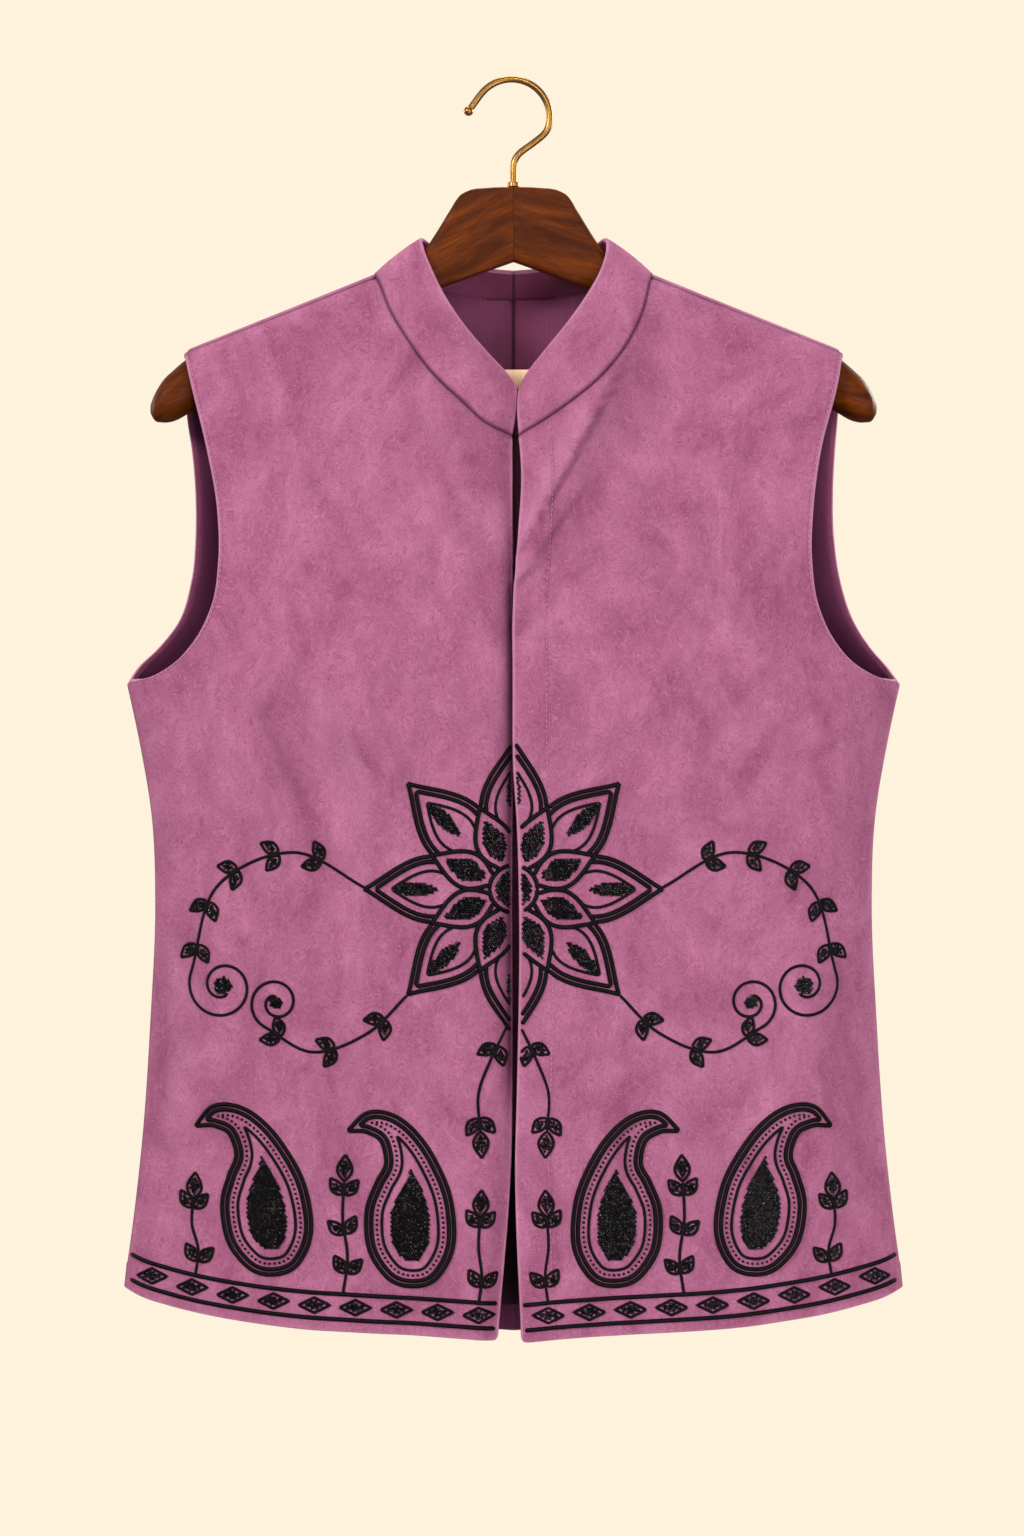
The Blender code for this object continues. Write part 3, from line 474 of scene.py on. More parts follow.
# A stem through four points that ends in a scroll, with pairs of leaves along it.
VINES = table(
    "x0 z0 x1 z1 x2 z2 x3 z3 scroll pairs",
    (92, -515, 138, -492, 186, -512, 205, -570, -22, 5),
    (66, -581, 92, -606, 128, -618, 158, -602, 17, 3),
    (4, -601, 14, -622, 22, -644, 21, -668, 0, 2),
    (22, -778, 20, -760, 22, -742, 21, -722, 0, 2),
    (108, -773, 105, -748, 108, -724, 107, -700, 0, 3),
    (202, -762, 200, -744, 204, -728, 203, -712, 0, 2),
)
SCROLL_TURNS, SCROLL_CORE = 1.4, 0.26
LEAF_LENGTH, LEAF_WIDTH, LEAF_MARGIN = 13.0, 3.6, 1.3
LEAF_OUT, LEAF_SPREAD = 1.2, 0.75  # from the stem's middle, and aside for each part ahead
FIRST_LEAF, LAST_LEAF, STEM_STEP = 0.2, 0.88, 0.02  # shares of the stem
BUD_LENGTH, BUD_WIDTH, EYE_MARGIN = 17.0, 4.68, 0.4

ARM_SIDES, ARM_STEPS, ROUND_SIDES = 64, 5, 28
BOARD, CRISPER = 4.7, 1.9  # the head's edges are crisper than the part's
SHARP_WOOD, SHARP_BRASS = 50, 40  # degrees
RIGHT_GRAIN, LEFT_GRAIN = 0.5, -0.27  # turns of the wood's grain, in radians
BAR_EASE = 0.8  # off the trouser bar's ends
HOOK_STEP, BEND_EASE = 1.0, 6  # between the wire's stations, and how many of them ease a bend
BALL_FIRST, BALL_POINTS = 0.08, 16  # the ball's first ring, in radians from its pole
ARC_POINTS, RING_POINTS = 90, 6

CAMERA_X, CAMERA_DISTANCE, CAMERA_Z = -0.96, 3000.0, -438.8
VIEW_HEIGHT = 983.04  # seen at the jacket's middle plane
SENSOR = 36.0
AIM = (0.0, 0.0, -0.42)  # the jacket's middle, in metres like the lights

LIGHTS = table(
    "name x y z size power tint",
    ("key", -2.1, -2.15, 0.85, 0.8, 48, (255, 250, 246)),
    ("fill", 1.9, -2.3, -0.3, 1.8, 20.5, (250, 250, 255)),
    ("front", 0.2, -2.7, 0.8, 0.5, 12, (255, 250, 244)),
    ("low", 0.6, -1.7, -1.15, 0.8, 9.5, (255, 250, 246)),
    ("back", 1.9, 2.2, 0.7, 1, 34, (255, 250, 246)),
    ("top", 0, 0.6, 1.5, 0.9, 22, (255, 250, 246)),
    ("rim_left", -1.9, 0.9, 0.1, 1, 12, (255, 250, 246)),
    ("rim_right", 1.9, 0.9, 0.1, 1, 14, (255, 250, 246)),
)

UP, BACKWARD = np.array([0.0, 0.0, 1.0]), np.array([0.0, 1.0, 0.0])

# ---- Curves and grids ----------------------------------------------------------------------------


def column(rows, *names):
    """The named columns of a table, as an array with a row for each of its rows."""
    return np.array([[getattr(row, name) for name in names] for row in rows], float)


def smooth_curve(keys, values, at):
    """A smooth curve through values at rising keys, read at other keys."""
    slopes = np.gradient(values, keys, axis=0)
    at = np.clip(at, keys[0], keys[-1])
    start = np.clip(np.searchsorted(keys, at, side="right") - 1, 0, len(keys) - 2)
    span = (keys[start + 1] - keys[start])[..., None]
    t = (at[..., None] - keys[start][..., None]) / span
    rise = t * t * (3 - 2 * t)
    return (
        (1 - rise) * values[start]
        + rise * values[start + 1]
        + t * (1 - t) ** 2 * span * slopes[start]
        - t * t * (1 - t) * span * slopes[start + 1]
    )


def read(rows, key, at, *names):
    """The named columns of a table, at any values of its key. One name gives plain numbers."""
    keys, values = column(rows, key)[:, 0], column(rows, *names)
    order = np.argsort(keys)
    found = smooth_curve(keys[order], values[order], np.asarray(at, float))
    return found[..., 0] if len(names) == 1 else found


def lengths_along(points):
    """The distance along a row of points to each of them."""
    steps = np.linalg.norm(np.diff(points, axis=0), axis=1)
    return np.concatenate([[0], np.cumsum(steps)])


def smooth_path(points, count=PATH_POINTS):
    """Many points along a smooth curve through a few."""
    points = np.asarray(points, float)
    keys = lengths_along(points)
    return smooth_curve(keys, points, np.linspace(0, keys[-1], count))


def at_lengths(line, lengths, wanted):
    """The values of a line's points at wanted distances along it."""
    return np.stack([np.interp(wanted, lengths, axis) for axis in line.T], -1)


def along(path, shares):
    """Points at shares of a path's length."""
    lengths = lengths_along(path)
    return at_lengths(path, lengths, np.asarray(shares) * lengths[-1])


def lengths_across(grid):
    """The distance along each row of a grid to each of its points."""
    steps = np.linalg.norm(np.diff(grid, axis=1), axis=2)
    return np.concatenate([np.zeros((len(grid), 1)), np.cumsum(steps, axis=1)], 1)


def from_sides(grid):
    """The distances along the cloth from a grid's first and last columns, and first and last rows."""
    turned = grid.transpose(1, 0, 2)
    ways = [lengths_across(each[:, ::step])[:, ::step] for each in (grid, turned) for step in (1, -1)]
    return ways[0], ways[1], ways[2].T, ways[3].T


def unit(vectors):
    return vectors / np.linalg.norm(vectors, axis=-1, keepdims=True)


def tangents_along(line):
    return unit(np.gradient(line, axis=0))


def turns_round(count, start=0.0):
    """Evenly spaced angles round a circle."""
    return (np.arange(count) + start) / count * 2 * math.pi


def smoothstep(t):
    t = np.clip(t, 0, 1)
    return t * t * (3 - 2 * t)


# ---- The jacket's form ---------------------------------------------------------------------------
# A place on the cloth is (out, down): its distance out from the centre line, and the distance down
# along the cloth from the ridge. On the back panel, a negative "down" is over on the front's side.


def ridge_z(out):
    return RIDGE_TOP - RIDGE_SLOPE * out


def fall(down):
    """How far below the ridge the cloth is, that distance down along it."""
    turned = np.clip(down / ROLL, -math.pi / 2, math.pi / 2)
    return ROLL * (1 - np.cos(turned)) + np.maximum(np.abs(down) - ROLL * math.pi / 2, 0)


def down_to(out, z):
    """The distance along the cloth from the ridge down to a height."""
    drop = np.maximum(ridge_z(out) - z, 0)
    turned = np.arccos(1 - np.minimum(drop / ROLL, 1))
    return ROLL * turned + np.maximum(drop - ROLL, 0)


def undulation(x, z):
    """The slight unevenness of worn cloth, as a sum of shallow waves."""
    waves = np.random.default_rng(WAVE_SEED)
    height = np.zeros_like(x)
    for _ in range(WAVES):
        turn, phase = waves.uniform(0, 2 * math.pi, 2)
        count = 2 * math.pi / waves.uniform(*WAVE_LENGTHS)
        height += WAVE_HEIGHT * np.sin(count * (x * math.cos(turn) + z * math.sin(turn)) + phase)
    return height


def run_beside(fold, x, z):
    """How far along a fold places are, as a share, and how far on its wearer's right."""
    run = np.array([fold.x1 - fold.x0, fold.z1 - fold.z0])
    length = np.linalg.norm(run)
    run = run / length
    share = ((x - fold.x0) * run[0] + (z - fold.z0) * run[1]) / length
    return np.clip(share, 0, 1), (x - fold.x0) * run[1] - (z - fold.z0) * run[0]


def folded(face, x, z):
    """How far the folds and creases push the cloth outward."""
    relief = np.zeros_like(x)
    for fold in FOLDS:
        if fold.face == face:
            share, aside = run_beside(fold, x, z)
            fade = np.sin(math.pi * share) ** FOLD_FADE
            relief += FOLD_GAIN * fold.out * fade * np.exp(-((aside / fold.half_width) ** 2))
    for crease in CREASES:
        if crease.face == face:
            share, aside = run_beside(crease, x, z)
            aside = aside - crease.bow * 4 * share * (1 - share)
            width = np.where(aside > 0, crease.before, crease.after)
            fade = np.sin(math.pi * share) ** CREASE_FADE
            relief += crease.out * fade * np.exp(-((aside / width) ** 2))
    return relief


def edge_dip(out, z):
    """How far the right front sinks toward its edge."""
    edge = read(CENTRE_FRONT, "z", z, "right")
    return EDGE_DIP * (1 - smoothstep((out - edge) / DIP_WIDTH))


def droop(out, down):
    """How far the shoulder's end rounds down over its turned edge."""
    return DROOP * smoothstep(1 + (out - SEAM_AT_TIP) / DROOP_REACH) ** 2 * np.exp(-np.abs(down) / ROLL)


def body_point(side, face, place):
    """The outer surface's world point, in millimetres, for places (out, down) on a panel."""
    out, down = place[..., 0], place[..., 1]
    z = ridge_z(out) - fall(down) - droop(out, down)
    facing = np.where(down < 0, -face, face)
    near = np.abs(np.sin(np.clip(down / ROLL, -math.pi / 2, math.pi / 2)))
    far = smoothstep(fall(down) / REACH)
    section = read(SECTIONS, "z", z, "half_width", "front", "back")
    hold = read(HOLDS, "out", out, "front", "back")
    to_back = facing == BACK
    chest = np.where(to_back, section[..., 2], section[..., 1])
    held = np.where(to_back, hold[..., 1], hold[..., 0])
    across = np.clip(np.abs(out) / section[..., 0], 0, 1)
    turn = (1 - across**FLATNESS) ** EDGE_TURN
    depth = near * (held * (1 - far) + chest * turn * far)
    middle = -SWEEP * (out / TIP) ** 2 * (1 - far)
    relief = undulation(side * out + face * WAVE_SHIFT, z) + folded(face, side * out, z)
    relief = relief * near * smoothstep((1 - across) / SEAM_CALM)
    if face == FRONT and side == RIGHT:
        relief = relief - edge_dip(out, z)
    return np.stack([side * out, middle + facing * depth + facing * relief, z], -1)


# ---- Outlines of the panels, as places (out, down) -----------------------------------------------


def side_name(side):
    return "left" if side == LEFT else "right"


def edge_at(side, z):
    """How far out a front's edge is at heights."""
    return read(CENTRE_FRONT, "z", z, side_name(side))


def hem_at(out):
    return read(HEM, "out", out, "z")


def edge_places(rows, side):
    """A table of edges on one side, as places from its first row to its last."""
    z, out = column(rows, "z", side_name(side)).T
    return np.stack([out, down_to(out, z)], -1)


def half_width_at(z):
    return read(SECTIONS, "z", z, "half_width")


def climb(count):
    """Shares of the way up from the hem to the underarm, closer together at both ends."""
    stops = np.array(CORNER_STOPS) / (UNDERARM - HEM[0].z)
    between = np.linspace(stops[-1], 1 - stops[-1], count + 3 - 2 * len(stops))
    return np.concatenate([stops[:-1], between, 1 - stops[-2::-1]])


def side_places(count):
    """The side seam from the hem up to the underarm point."""
    heights = HEM[-1].z + (UNDERARM - HEM[-1].z) * climb(count)
    return np.stack([half_width_at(heights), down_to(half_width_at(heights), heights)], -1)


def armhole_path(side, face):
    """The armhole's edge from the underarm point up to the shoulder seam."""
    edge = FRONT_ARMHOLE if face == FRONT else BACK_ARMHOLE
    out = half_width_at(UNDERARM)
    path = [np.array([[out, down_to(out, UNDERARM)]]), edge_places(edge, side)[::-1]]
    if face == FRONT:
        path.append([[SEAM_AT_TIP, SHOULDER_SEAM]])
    else:
        path.append([[SEAM_AT_TIP + past, down] for down, past in BACK_TIP])
        path.append([[SEAM_AT_TIP, -SHOULDER_SEAM]])
    return smooth_path(np.concatenate(path))


def neck_path(side, face):
    """A panel's neckline from the centre up to the shoulder seam."""
    if face == BACK:
        return smooth_path(column(BACK_NECK, "out", "down")[::-1])
    first = edge_places(CENTRE_FRONT[:1], side)
    last = np.array([[SEAM_AT_NECK, SHOULDER_SEAM]])
    return smooth_path(np.concatenate([first, edge_places(FRONT_NECK, side), last]))


def rows_up(path, face, count, start=0.0):
    """Places up a path from a share of its length: evenly spaced, then at the face's roll rows."""
    rolls = ROLL_ROWS[face]
    lengths = lengths_along(path)
    first = start * lengths[-1]
    last = np.interp(-rolls[0], -path[:, 1], lengths)
    even = np.linspace(first, last, count - len(rolls) + 2)[:-1]
    wanted = np.concatenate([even, np.interp(-np.array(rolls), -path[:, 1], lengths)])
    return at_lengths(path, lengths, wanted)


def neck_places(side, face):
    return rows_up(neck_path(side, face), face, ROWS[face][2])


def across_shares(inner, outer, face):
    """Shares across each row: at the stops beside both edges, and even between them."""
    lengths = np.linalg.norm(outer - inner, axis=1)[:, None]
    first = np.array(INNER_STOPS) / lengths
    last = 1 - np.array(OUTER_STOPS)[::-1] / lengths
    even = np.linspace(0, 1, MIDDLE_COLUMNS[face])[1:-1]
    between = first[:, -1:] + (last[:, :1] - first[:, -1:]) * even
    return np.concatenate([first, between, last], 1)[..., None]


def panel_places(side, face):
    """A panel's places in rows from hem to shoulder seam, each from the centre to the side."""
    lower, middle, upper = ROWS[face]
    neck = neck_places(side, face)
    neck_z = float(ridge_z(neck[0, 0]) - fall(neck[0, 1]))
    hem_z = hem_at(0.0)
    from_hem = hem_z + (UNDERARM - hem_z) * climb(lower)
    from_underarm = np.linspace(UNDERARM, neck_z, middle + 1)[1:-1]
    heights = np.concatenate([from_hem, from_underarm])
    out = np.zeros_like(heights)
    if face == FRONT:
        out = edge_at(side, heights)
    inner = np.concatenate([np.stack([out, down_to(out, heights)], -1), neck])

    path = armhole_path(side, face)
    share = ARMHOLE_SHARE[face]
    beside_middle = along(path, np.linspace(0, share, middle + 1)[1:-1])
    armhole = np.concatenate([beside_middle, rows_up(path, face, upper, share)])
    outer = np.concatenate([side_places(lower), armhole])
    across = across_shares(inner, outer, face)
    places = inner[:, None] * (1 - across) + outer[:, None] * across
    # The hem's curve fades out of the rows above it.
    foot = places[0, :, 0]
    change = down_to(foot, hem_at(foot)) - places[0, :, 1]
    fade = (1 - climb(lower)) ** 2
    places[: lower + 1, :, 1] += fade[:, None] * change
    return places


def inward_of(grid, outward):
    """Unit vectors into the wall at each point of a grid whose middle faces outward."""
    normal = unit(np.cross(np.gradient(grid, axis=0), np.gradient(grid, axis=1)))
    middle = normal[grid.shape[0] // 2, grid.shape[1] // 2]
    return -normal if middle @ np.asarray(outward, float) > 0 else normal


def let_out(grid, edge, beside):
    """Moves a sewn edge out, away from the points beside it, by its half of the overlap."""
    grid[edge] -= unit(grid[beside] - grid[edge]) * SEWN_OVERLAP / 2


# ---- The collar ----------------------------------------------------------------------------------


def neck_points(side):
    """The neck seam from the centre front to the centre back."""
    front = body_point(side, FRONT, neck_places(side, FRONT))
    back = body_point(side, BACK, neck_places(side, BACK))
    return np.concatenate([front, back[-2::-1]])


def fillet(line, corner, reach):
    """The line with the corner at that index rounded off, as far as a reach on both sides of it."""
    run = lengths_along(line) - lengths_along(line)[corner]
    ends = [at_lengths(line, run, end) for end in (-reach, reach)]
    near = np.abs(run) < reach
    t = (run[near, None] + reach) / (2 * reach)
    rounded = line.copy()
    rounded[near] = (1 - t) ** 2 * ends[0] + 2 * t * (1 - t) * line[corner] + t**2 * ends[1]
    return rounded


def round_rim(grid, rows, columns, reach):
    """Rounds the rim's corner at the middle of a run of its points."""
    grid[rows, columns] = fillet(grid[rows, columns], len(rows) // 2, reach)


def collar_grid(side):
    """The collar's outer surface in rows from the neck seam up to its free edge."""
    neck = neck_points(side)
    ridge = ROWS[FRONT][2] + len(ROLL_ROWS[BACK]) - 1 - ROLL_ROWS[BACK].index(0.0)
    front_run, back_run = lengths_along(neck[: ridge + 1]), lengths_along(neck[ridge:])
    out, y, z = column(COLLAR_TOP, side_name(side), "y", "z").T
    top = np.stack([side * out, y, z], -1)
    keys = lengths_along(top)
    peak = keys[PEAK_ROW]
    front_keys = front_run / front_run[-1] * peak
    back_keys = peak + back_run / back_run[-1] * (keys[-1] - peak)
    free = smooth_curve(keys, top, np.concatenate([front_keys, back_keys[1:]]))
    rise = np.linspace(0, 1, COLLAR_ROWS + 1)[:, None, None]
    grid = neck * (1 - rise) + free * rise
    inward = inward_of(grid, (side, FRONT, 0))
    arch = 4 * rise * (1 - rise)
    from_tip = lengths_across(grid)[..., None]
    bow = -side * TIP_BOW * arch * np.exp(-from_tip / TIP_BOW_REACH)
    return grid - inward * COLLAR_BULGE * arch + bow * np.array([1.0, 0.0, 0.0])


# ---- The jacket's seams --------------------------------------------------------------------------

Cloth = namedtuple("Cloth", "grid inward")  # outer points, and the way in for 1 mm of wall


def mitre(first, second):
    """The way into each of two walls along the plane that halves the corner between them."""
    shared = unit(first + second)
    return [shared / np.sum(shared * each, -1, keepdims=True) for each in (first, second)]


def level(vectors):
    """Unit vectors with no part along X, for the seams at the centre back."""
    return unit(vectors * (0, 1, 1))


def shoulder_inward(side, out):
    """The way into the wall along the shoulder seam, which both panels share."""
    step = 1.0
    seam = np.stack([out, np.full_like(out, SHOULDER_SEAM)], -1)
    tangents = [
        body_point(side, FRONT, seam + move) - body_point(side, FRONT, seam - move)
        for move in (np.array([step, 0]), np.array([0, step]))
    ]
    inward = unit(np.cross(tangents[0], tangents[1]))
    return inward * np.where(inward[:, 2:] > 0, -1, 1)


def jacket_half(side):
    """One side's front, back and collar, with their walls matched where they meet."""
    panels = {}
    for face in (FRONT, BACK):
        places = panel_places(side, face)
        grid = body_point(side, face, places)
        inward = inward_of(grid, (0, face, 0))
        inward[: UNDERARM_ROW[face] + 1, -1] = (-side, 0, 0)
        inward[-1] = shoulder_inward(side, places[-1, :, 0])
        panels[face] = Cloth(grid, inward)
    front, back = panels[FRONT], panels[BACK]
    centre_back = slice(0, NECK_ROW[BACK] + 1)
    back.inward[centre_back, 0] = level(back.inward[centre_back, 0])

    grid = collar_grid(side)
    collar = Cloth(grid, inward_of(grid, (side, FRONT, 0)))
    collar.inward[:, -1] = level(collar.inward[:, -1])
    shoulder = ROWS[FRONT][2]
    front_edge, back_edge = front.inward[NECK_ROW[FRONT] :, 0], back.inward[: NECK_ROW[BACK] - 1 : -1, 0]
    front_edge[:], collar_front = mitre(front_edge, collar.inward[0, : shoulder + 1])
    back_edge[:], collar_back = mitre(back_edge, collar.inward[0, shoulder:])
    collar.inward[0] = np.concatenate([collar_front, collar_back[1:]])

    whole = slice(None)
    for face in (FRONT, BACK):
        grid = panels[face].grid
        side_seam = slice(0, UNDERARM_ROW[face] + 1)
        inner_seam = slice(NECK_ROW[FRONT], None) if face == FRONT else whole
        let_out(grid, (side_seam, -1), (side_seam, -2))
        let_out(grid, (-1, whole), (-2, whole))
        let_out(grid, (inner_seam, 0), (inner_seam, 1))
    let_out(collar.grid, (0, whole), (1, whole))
    let_out(collar.grid, (whole, -1), (whole, -2))
    return round_corners(panels, collar)


def round_corners(panels, collar):
    """Rounds the front's lower corner, the collar's tip and the turned edges under the arm."""
    steps = np.arange(CORNER_POINTS)
    up, across = np.concatenate([0 * steps, steps[1:]]), np.concatenate([steps[::-1], 0 * steps[1:]])
    round_rim(panels[FRONT].grid, up, across, FILLET)
    round_rim(collar.grid, COLLAR_ROWS - up, across, FILLET)
    for face in (FRONT, BACK):
        rows = UNDERARM_ROW[face] + np.arange(1 - CORNER_POINTS, CORNER_POINTS)
        round_rim(panels[face].grid, rows, np.full_like(rows, -1), UNDERARM_FILLET)
    return panels[FRONT], panels[BACK], collar


# ---- Walls with rounded rims ---------------------------------------------------------------------


def rim_of(rows, columns):
    """The indices round a grid's rim, in order."""
    number = np.arange(rows * columns).reshape(rows, columns)
    rim = np.concatenate([number[0], number[1:, -1], number[-1, -2::-1], number[-2:0:-1, 0]])
    return np.unravel_index(rim, (rows, columns))


def outward_at_rim(grid):
    """Vectors at the rim that point out of the cloth in its own surface, and the room inside it."""
    away = np.zeros_like(grid)
    room = np.full(grid.shape[:2], np.inf)
    for edge, beside in (
        ((0, slice(None)), (1, slice(None))),
        ((-1, slice(None)), (-2, slice(None))),
        ((slice(None), 0), (slice(None), 1)),
        ((slice(None), -1), (slice(None), -2)),
    ):
        step = grid[edge] - grid[beside]
        away[edge] += unit(step)
        room[edge] = np.minimum(room[edge], np.linalg.norm(step, axis=-1))
    return away, room


def place_object(name, data, location=(0, 0, 0), turned=(0, 0, 0)):
    """An object in the scene."""
    made = bpy.data.objects.new(name, data)
    made.location = location
    made.rotation_euler = turned
    bpy.context.scene.collection.objects.link(made)
    return made


def add_mesh(name, form, finishes, face_finish=None, sharp=None):
    """A smooth-shaded mesh object from a form in millimetres. It rides on the part's one body."""
    points, faces = form
    mesh = bpy.data.meshes.new(name)
    mesh.from_pydata((points * MM).tolist(), [], faces)
    for finish in finishes:
        mesh.materials.append(finish)
    if face_finish is not None:
        mesh.polygons.foreach_set("material_index", face_finish)
    mesh.shade_smooth()
    if sharp is not None:
        mesh.set_sharp_from_angle(angle=math.radians(sharp))
    made = place_object(name, mesh)
    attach(made, "root")
    return made


def rim_rings(points, away, into, radius, thickness):
    """Rings of points round a rounded rim, from the outer side to the inner one."""
    return [
        points - away * radius * (1 - math.cos(turn)) + into * (thickness / 2 * (1 - math.sin(turn)))
        for turn in np.linspace(math.pi / 2, -math.pi / 2, RIM_STEPS + 1)[1:-1]
    ]


def wall_faces(rows, columns, rings):
    """The faces of a wall's one side, and of the whole wall: outer side, bands of its rim, inner side."""
    number = np.arange(rows * columns).reshape(rows, columns)
    quads = np.stack([number[:-1, :-1], number[:-1, 1:], number[1:, 1:], number[1:, :-1]], -1)
    quads = quads.reshape(-1, 4)
    rim = number[rim_of(rows, columns)]
    between = 2 * number.size + np.arange(rings * len(rim)).reshape(rings, -1)
    loops = [rim, *between, rim + number.size]
    bands = [
        np.stack([np.roll(near, -1), near, far, np.roll(far, -1)], -1)
        for near, far in zip(loops, loops[1:])
    ]
    return quads, np.concatenate([quads, *bands, quads[:, ::-1] + number.size])


def shell(name, cloth, thickness, rounding, finishes, wear=None, inner_wear_and_painted_light=None):
    """A closed wall on a grid, with its rim rounded. The last finish is for its inner side."""
    grid, inward = cloth
    rows, columns = grid.shape[:2]
    rim = rim_of(rows, columns)
    away, room = outward_at_rim(grid)
    radius = np.minimum(rounding[rim], RIM_SHARE * room[rim])[:, None]
    outer = grid.copy()
    outer[rim] -= away[rim] * radius
    inner = outer + inward * thickness
    rings = rim_rings(grid[rim], away[rim], inward[rim], radius, thickness)
    points = np.concatenate([outer.reshape(-1, 3), inner.reshape(-1, 3), *rings])

    quads, faces = wall_faces(rows, columns, len(rings))
    middle = quads[len(quads) // 2 + columns // 2]
    a, b, c, _ = points[middle]
    if np.cross(b - a, c - a) @ inward.reshape(-1, 3)[middle[0]] > 0:
        faces = faces[:, ::-1]
    side = np.zeros(len(faces), np.int32)
    side[-len(quads) :] = len(finishes) - 1
    made = add_mesh(name, (points, faces.tolist()), finishes, side)
    if wear is not None:
        amounts = np.concatenate([wear.reshape(-1), inner_wear_and_painted_light.reshape(-1), *[wear[rim]] * len(rings)])
        made.data.attributes.new("wear", "FLOAT", "POINT").data.foreach_set("value", amounts)
    return made


# ---- Turned edges --------------------------------------------------------------------------------


def stitch_line(distance, stitch):
    """How near a distance is to a line of stitches: 1 on it, and 0 far from it."""
    return np.exp(-(((distance - stitch) / GROOVE_WIDTH) ** 2))


def turned_edge(distance, stitch):
    """The relief of an edge that is turned in and stitched down at a distance from its fold."""
    puffed = EDGE_PUFF * np.clip(distance / stitch, 0, 1) * (distance < stitch)
    return puffed - GROOVE_DEPTH * stitch_line(distance, stitch)


def with_turned_edges(side, face, cloth):
    """The panel with its stitched edges sunk and puffed."""
    from_centre, from_side, from_hem, _ = from_sides(cloth.grid)
    neck_from = NECK_ROW[face]
    armhole, neck = slice(UNDERARM_ROW[face] + 1, None), slice(neck_from, None)
    relief = np.zeros(cloth.grid.shape[:2])
    relief[armhole] += turned_edge(from_side[armhole], ARMHOLE_STITCH)
    if face == FRONT and side == LEFT:
        opening = slice(0, neck_from + 1)
        relief[opening] += turned_edge(from_centre[opening], FLY_STITCH)
    if face == FRONT:
        relief[neck] -= NECK_DIP * np.exp(-from_centre[neck] / NECK_REACH)
    else:
        relief += turned_edge(from_hem, HEM_STITCH)
    return Cloth(cloth.grid - cloth.inward * relief[..., None], cloth.inward)


def at_distance(grid, inward, distance):
    """The line on a grid that lies a distance in from its first column, and the way out of the cloth."""
    lengths = lengths_across(grid)
    line, normal = (
        np.array([at_lengths(each, row, distance) for row, each in zip(lengths, vectors)])
        for vectors in (grid, inward)
    )
    return line, -unit(normal)


# ---- Lofts and copies ----------------------------------------------------------------------------

Form = namedtuple("Form", "points faces")


def loft(rings, looped=False):
    """A closed form through rings of points: with flat ends, or looped back to its first ring."""
    count, sides = rings.shape[:2]
    ring = np.arange(count * sides).reshape(count, sides)
    if looped:
        ring = np.concatenate([ring, ring[:1]])
    after = np.roll(ring, -1, axis=1)
    faces = np.stack([ring[:-1], after[:-1], after[1:], ring[1:]], -1).reshape(-1, 4).tolist()
    if not looped:
        faces += [ring[0, ::-1].tolist(), ring[-1].tolist()]
    points = rings.reshape(-1, 3)
    near, beside, _, _ = points[faces[0]]
    ahead = points[faces[0][3]]
    outward = near - (rings[0].mean(0) if not looped else rings.mean((0, 1)))
    if np.cross(beside - near, ahead - near) @ outward < 0:
        faces = [face[::-1] for face in faces]
    return Form(points, faces)


def joined(forms):
    """Several forms as one."""
    starts = np.cumsum([0] + [len(form.points) for form in forms])
    faces = [[v + int(start) for v in face] for form, start in zip(forms, starts) for face in form.faces]
    return Form(np.concatenate([form.points for form in forms]), faces)


def copies(form, places, frames):
    """Copies of one form at places, each turned and sized by its frame of three rows."""
    points = (form.points[None] @ frames + places[:, None]).reshape(-1, 3)
    numbers = (np.arange(len(places)) * len(form.points)).tolist()
    return Form(points, [[v + start for v in face] for start in numbers for face in form.faces])


def tube(line, up, size, sides, flatness=1.0):
    """A round or flattened tube along a line, with its size at each point."""
    aside = unit(np.cross(up, tangents_along(line)))
    turns = turns_round(sides)
    raised = flatness * np.sin(turns)[:, None] * np.broadcast_to(up, line.shape)[:, None]
    ring = np.cos(turns)[:, None] * aside[:, None] + raised
    return loft(line[:, None] + ring * np.asarray(size)[..., None, None])


def line_of(x, y=0.0, z=0.0):
    """Points from separate coordinates. A plain number holds for them all."""
    return np.stack(np.broadcast_arrays(x, y, z), -1)


def resample(line, normals, count):
    """Evenly spaced points along a line, with the normals there."""
    lengths = lengths_along(line)
    wanted = np.linspace(0, lengths[-1], count)
    return at_lengths(line, lengths, wanted), unit(at_lengths(normals, lengths, wanted))


# ---- Stitches ------------------------------------------------------------------------------------


def stitch_form():
    """One stitch of unit length along X, as a capsule."""
    x, size = column(STITCH, "x", "size").T
    return tube(line_of(x), UP, STITCH_RADIUS / STITCH_LENGTH * size, STITCH_SIDES)


def stitches(name, lines, finish):
    """Rows of raised stitches along lines of (points, normals)."""
    rows = []
    for line, normals in lines:
        count = max(2, int(lengths_along(line)[-1] / STITCH_PITCH))
        places, up = resample(line, normals, count)
        along_line = tangents_along(places)
        frames = np.stack([along_line, np.cross(up, along_line), up], 1) * STITCH_LENGTH
        rows.append(copies(stitch_form(), places + up * STITCH_RISE, frames))
    return add_mesh(name, joined(rows), [finish])


# ---- Materials -----------------------------------------------------------------------------------

EVEN = (1.0, 1.0, 1.0)


def linear(channel):
    """An 8-bit sRGB value as the linear value that a shader takes."""
    value = channel / 255
    return value / 12.92 if value <= 0.04045 else ((value + 0.055) / 1.055) ** 2.4


def colour(*channels):
    return (*map(linear, channels), 1.0)


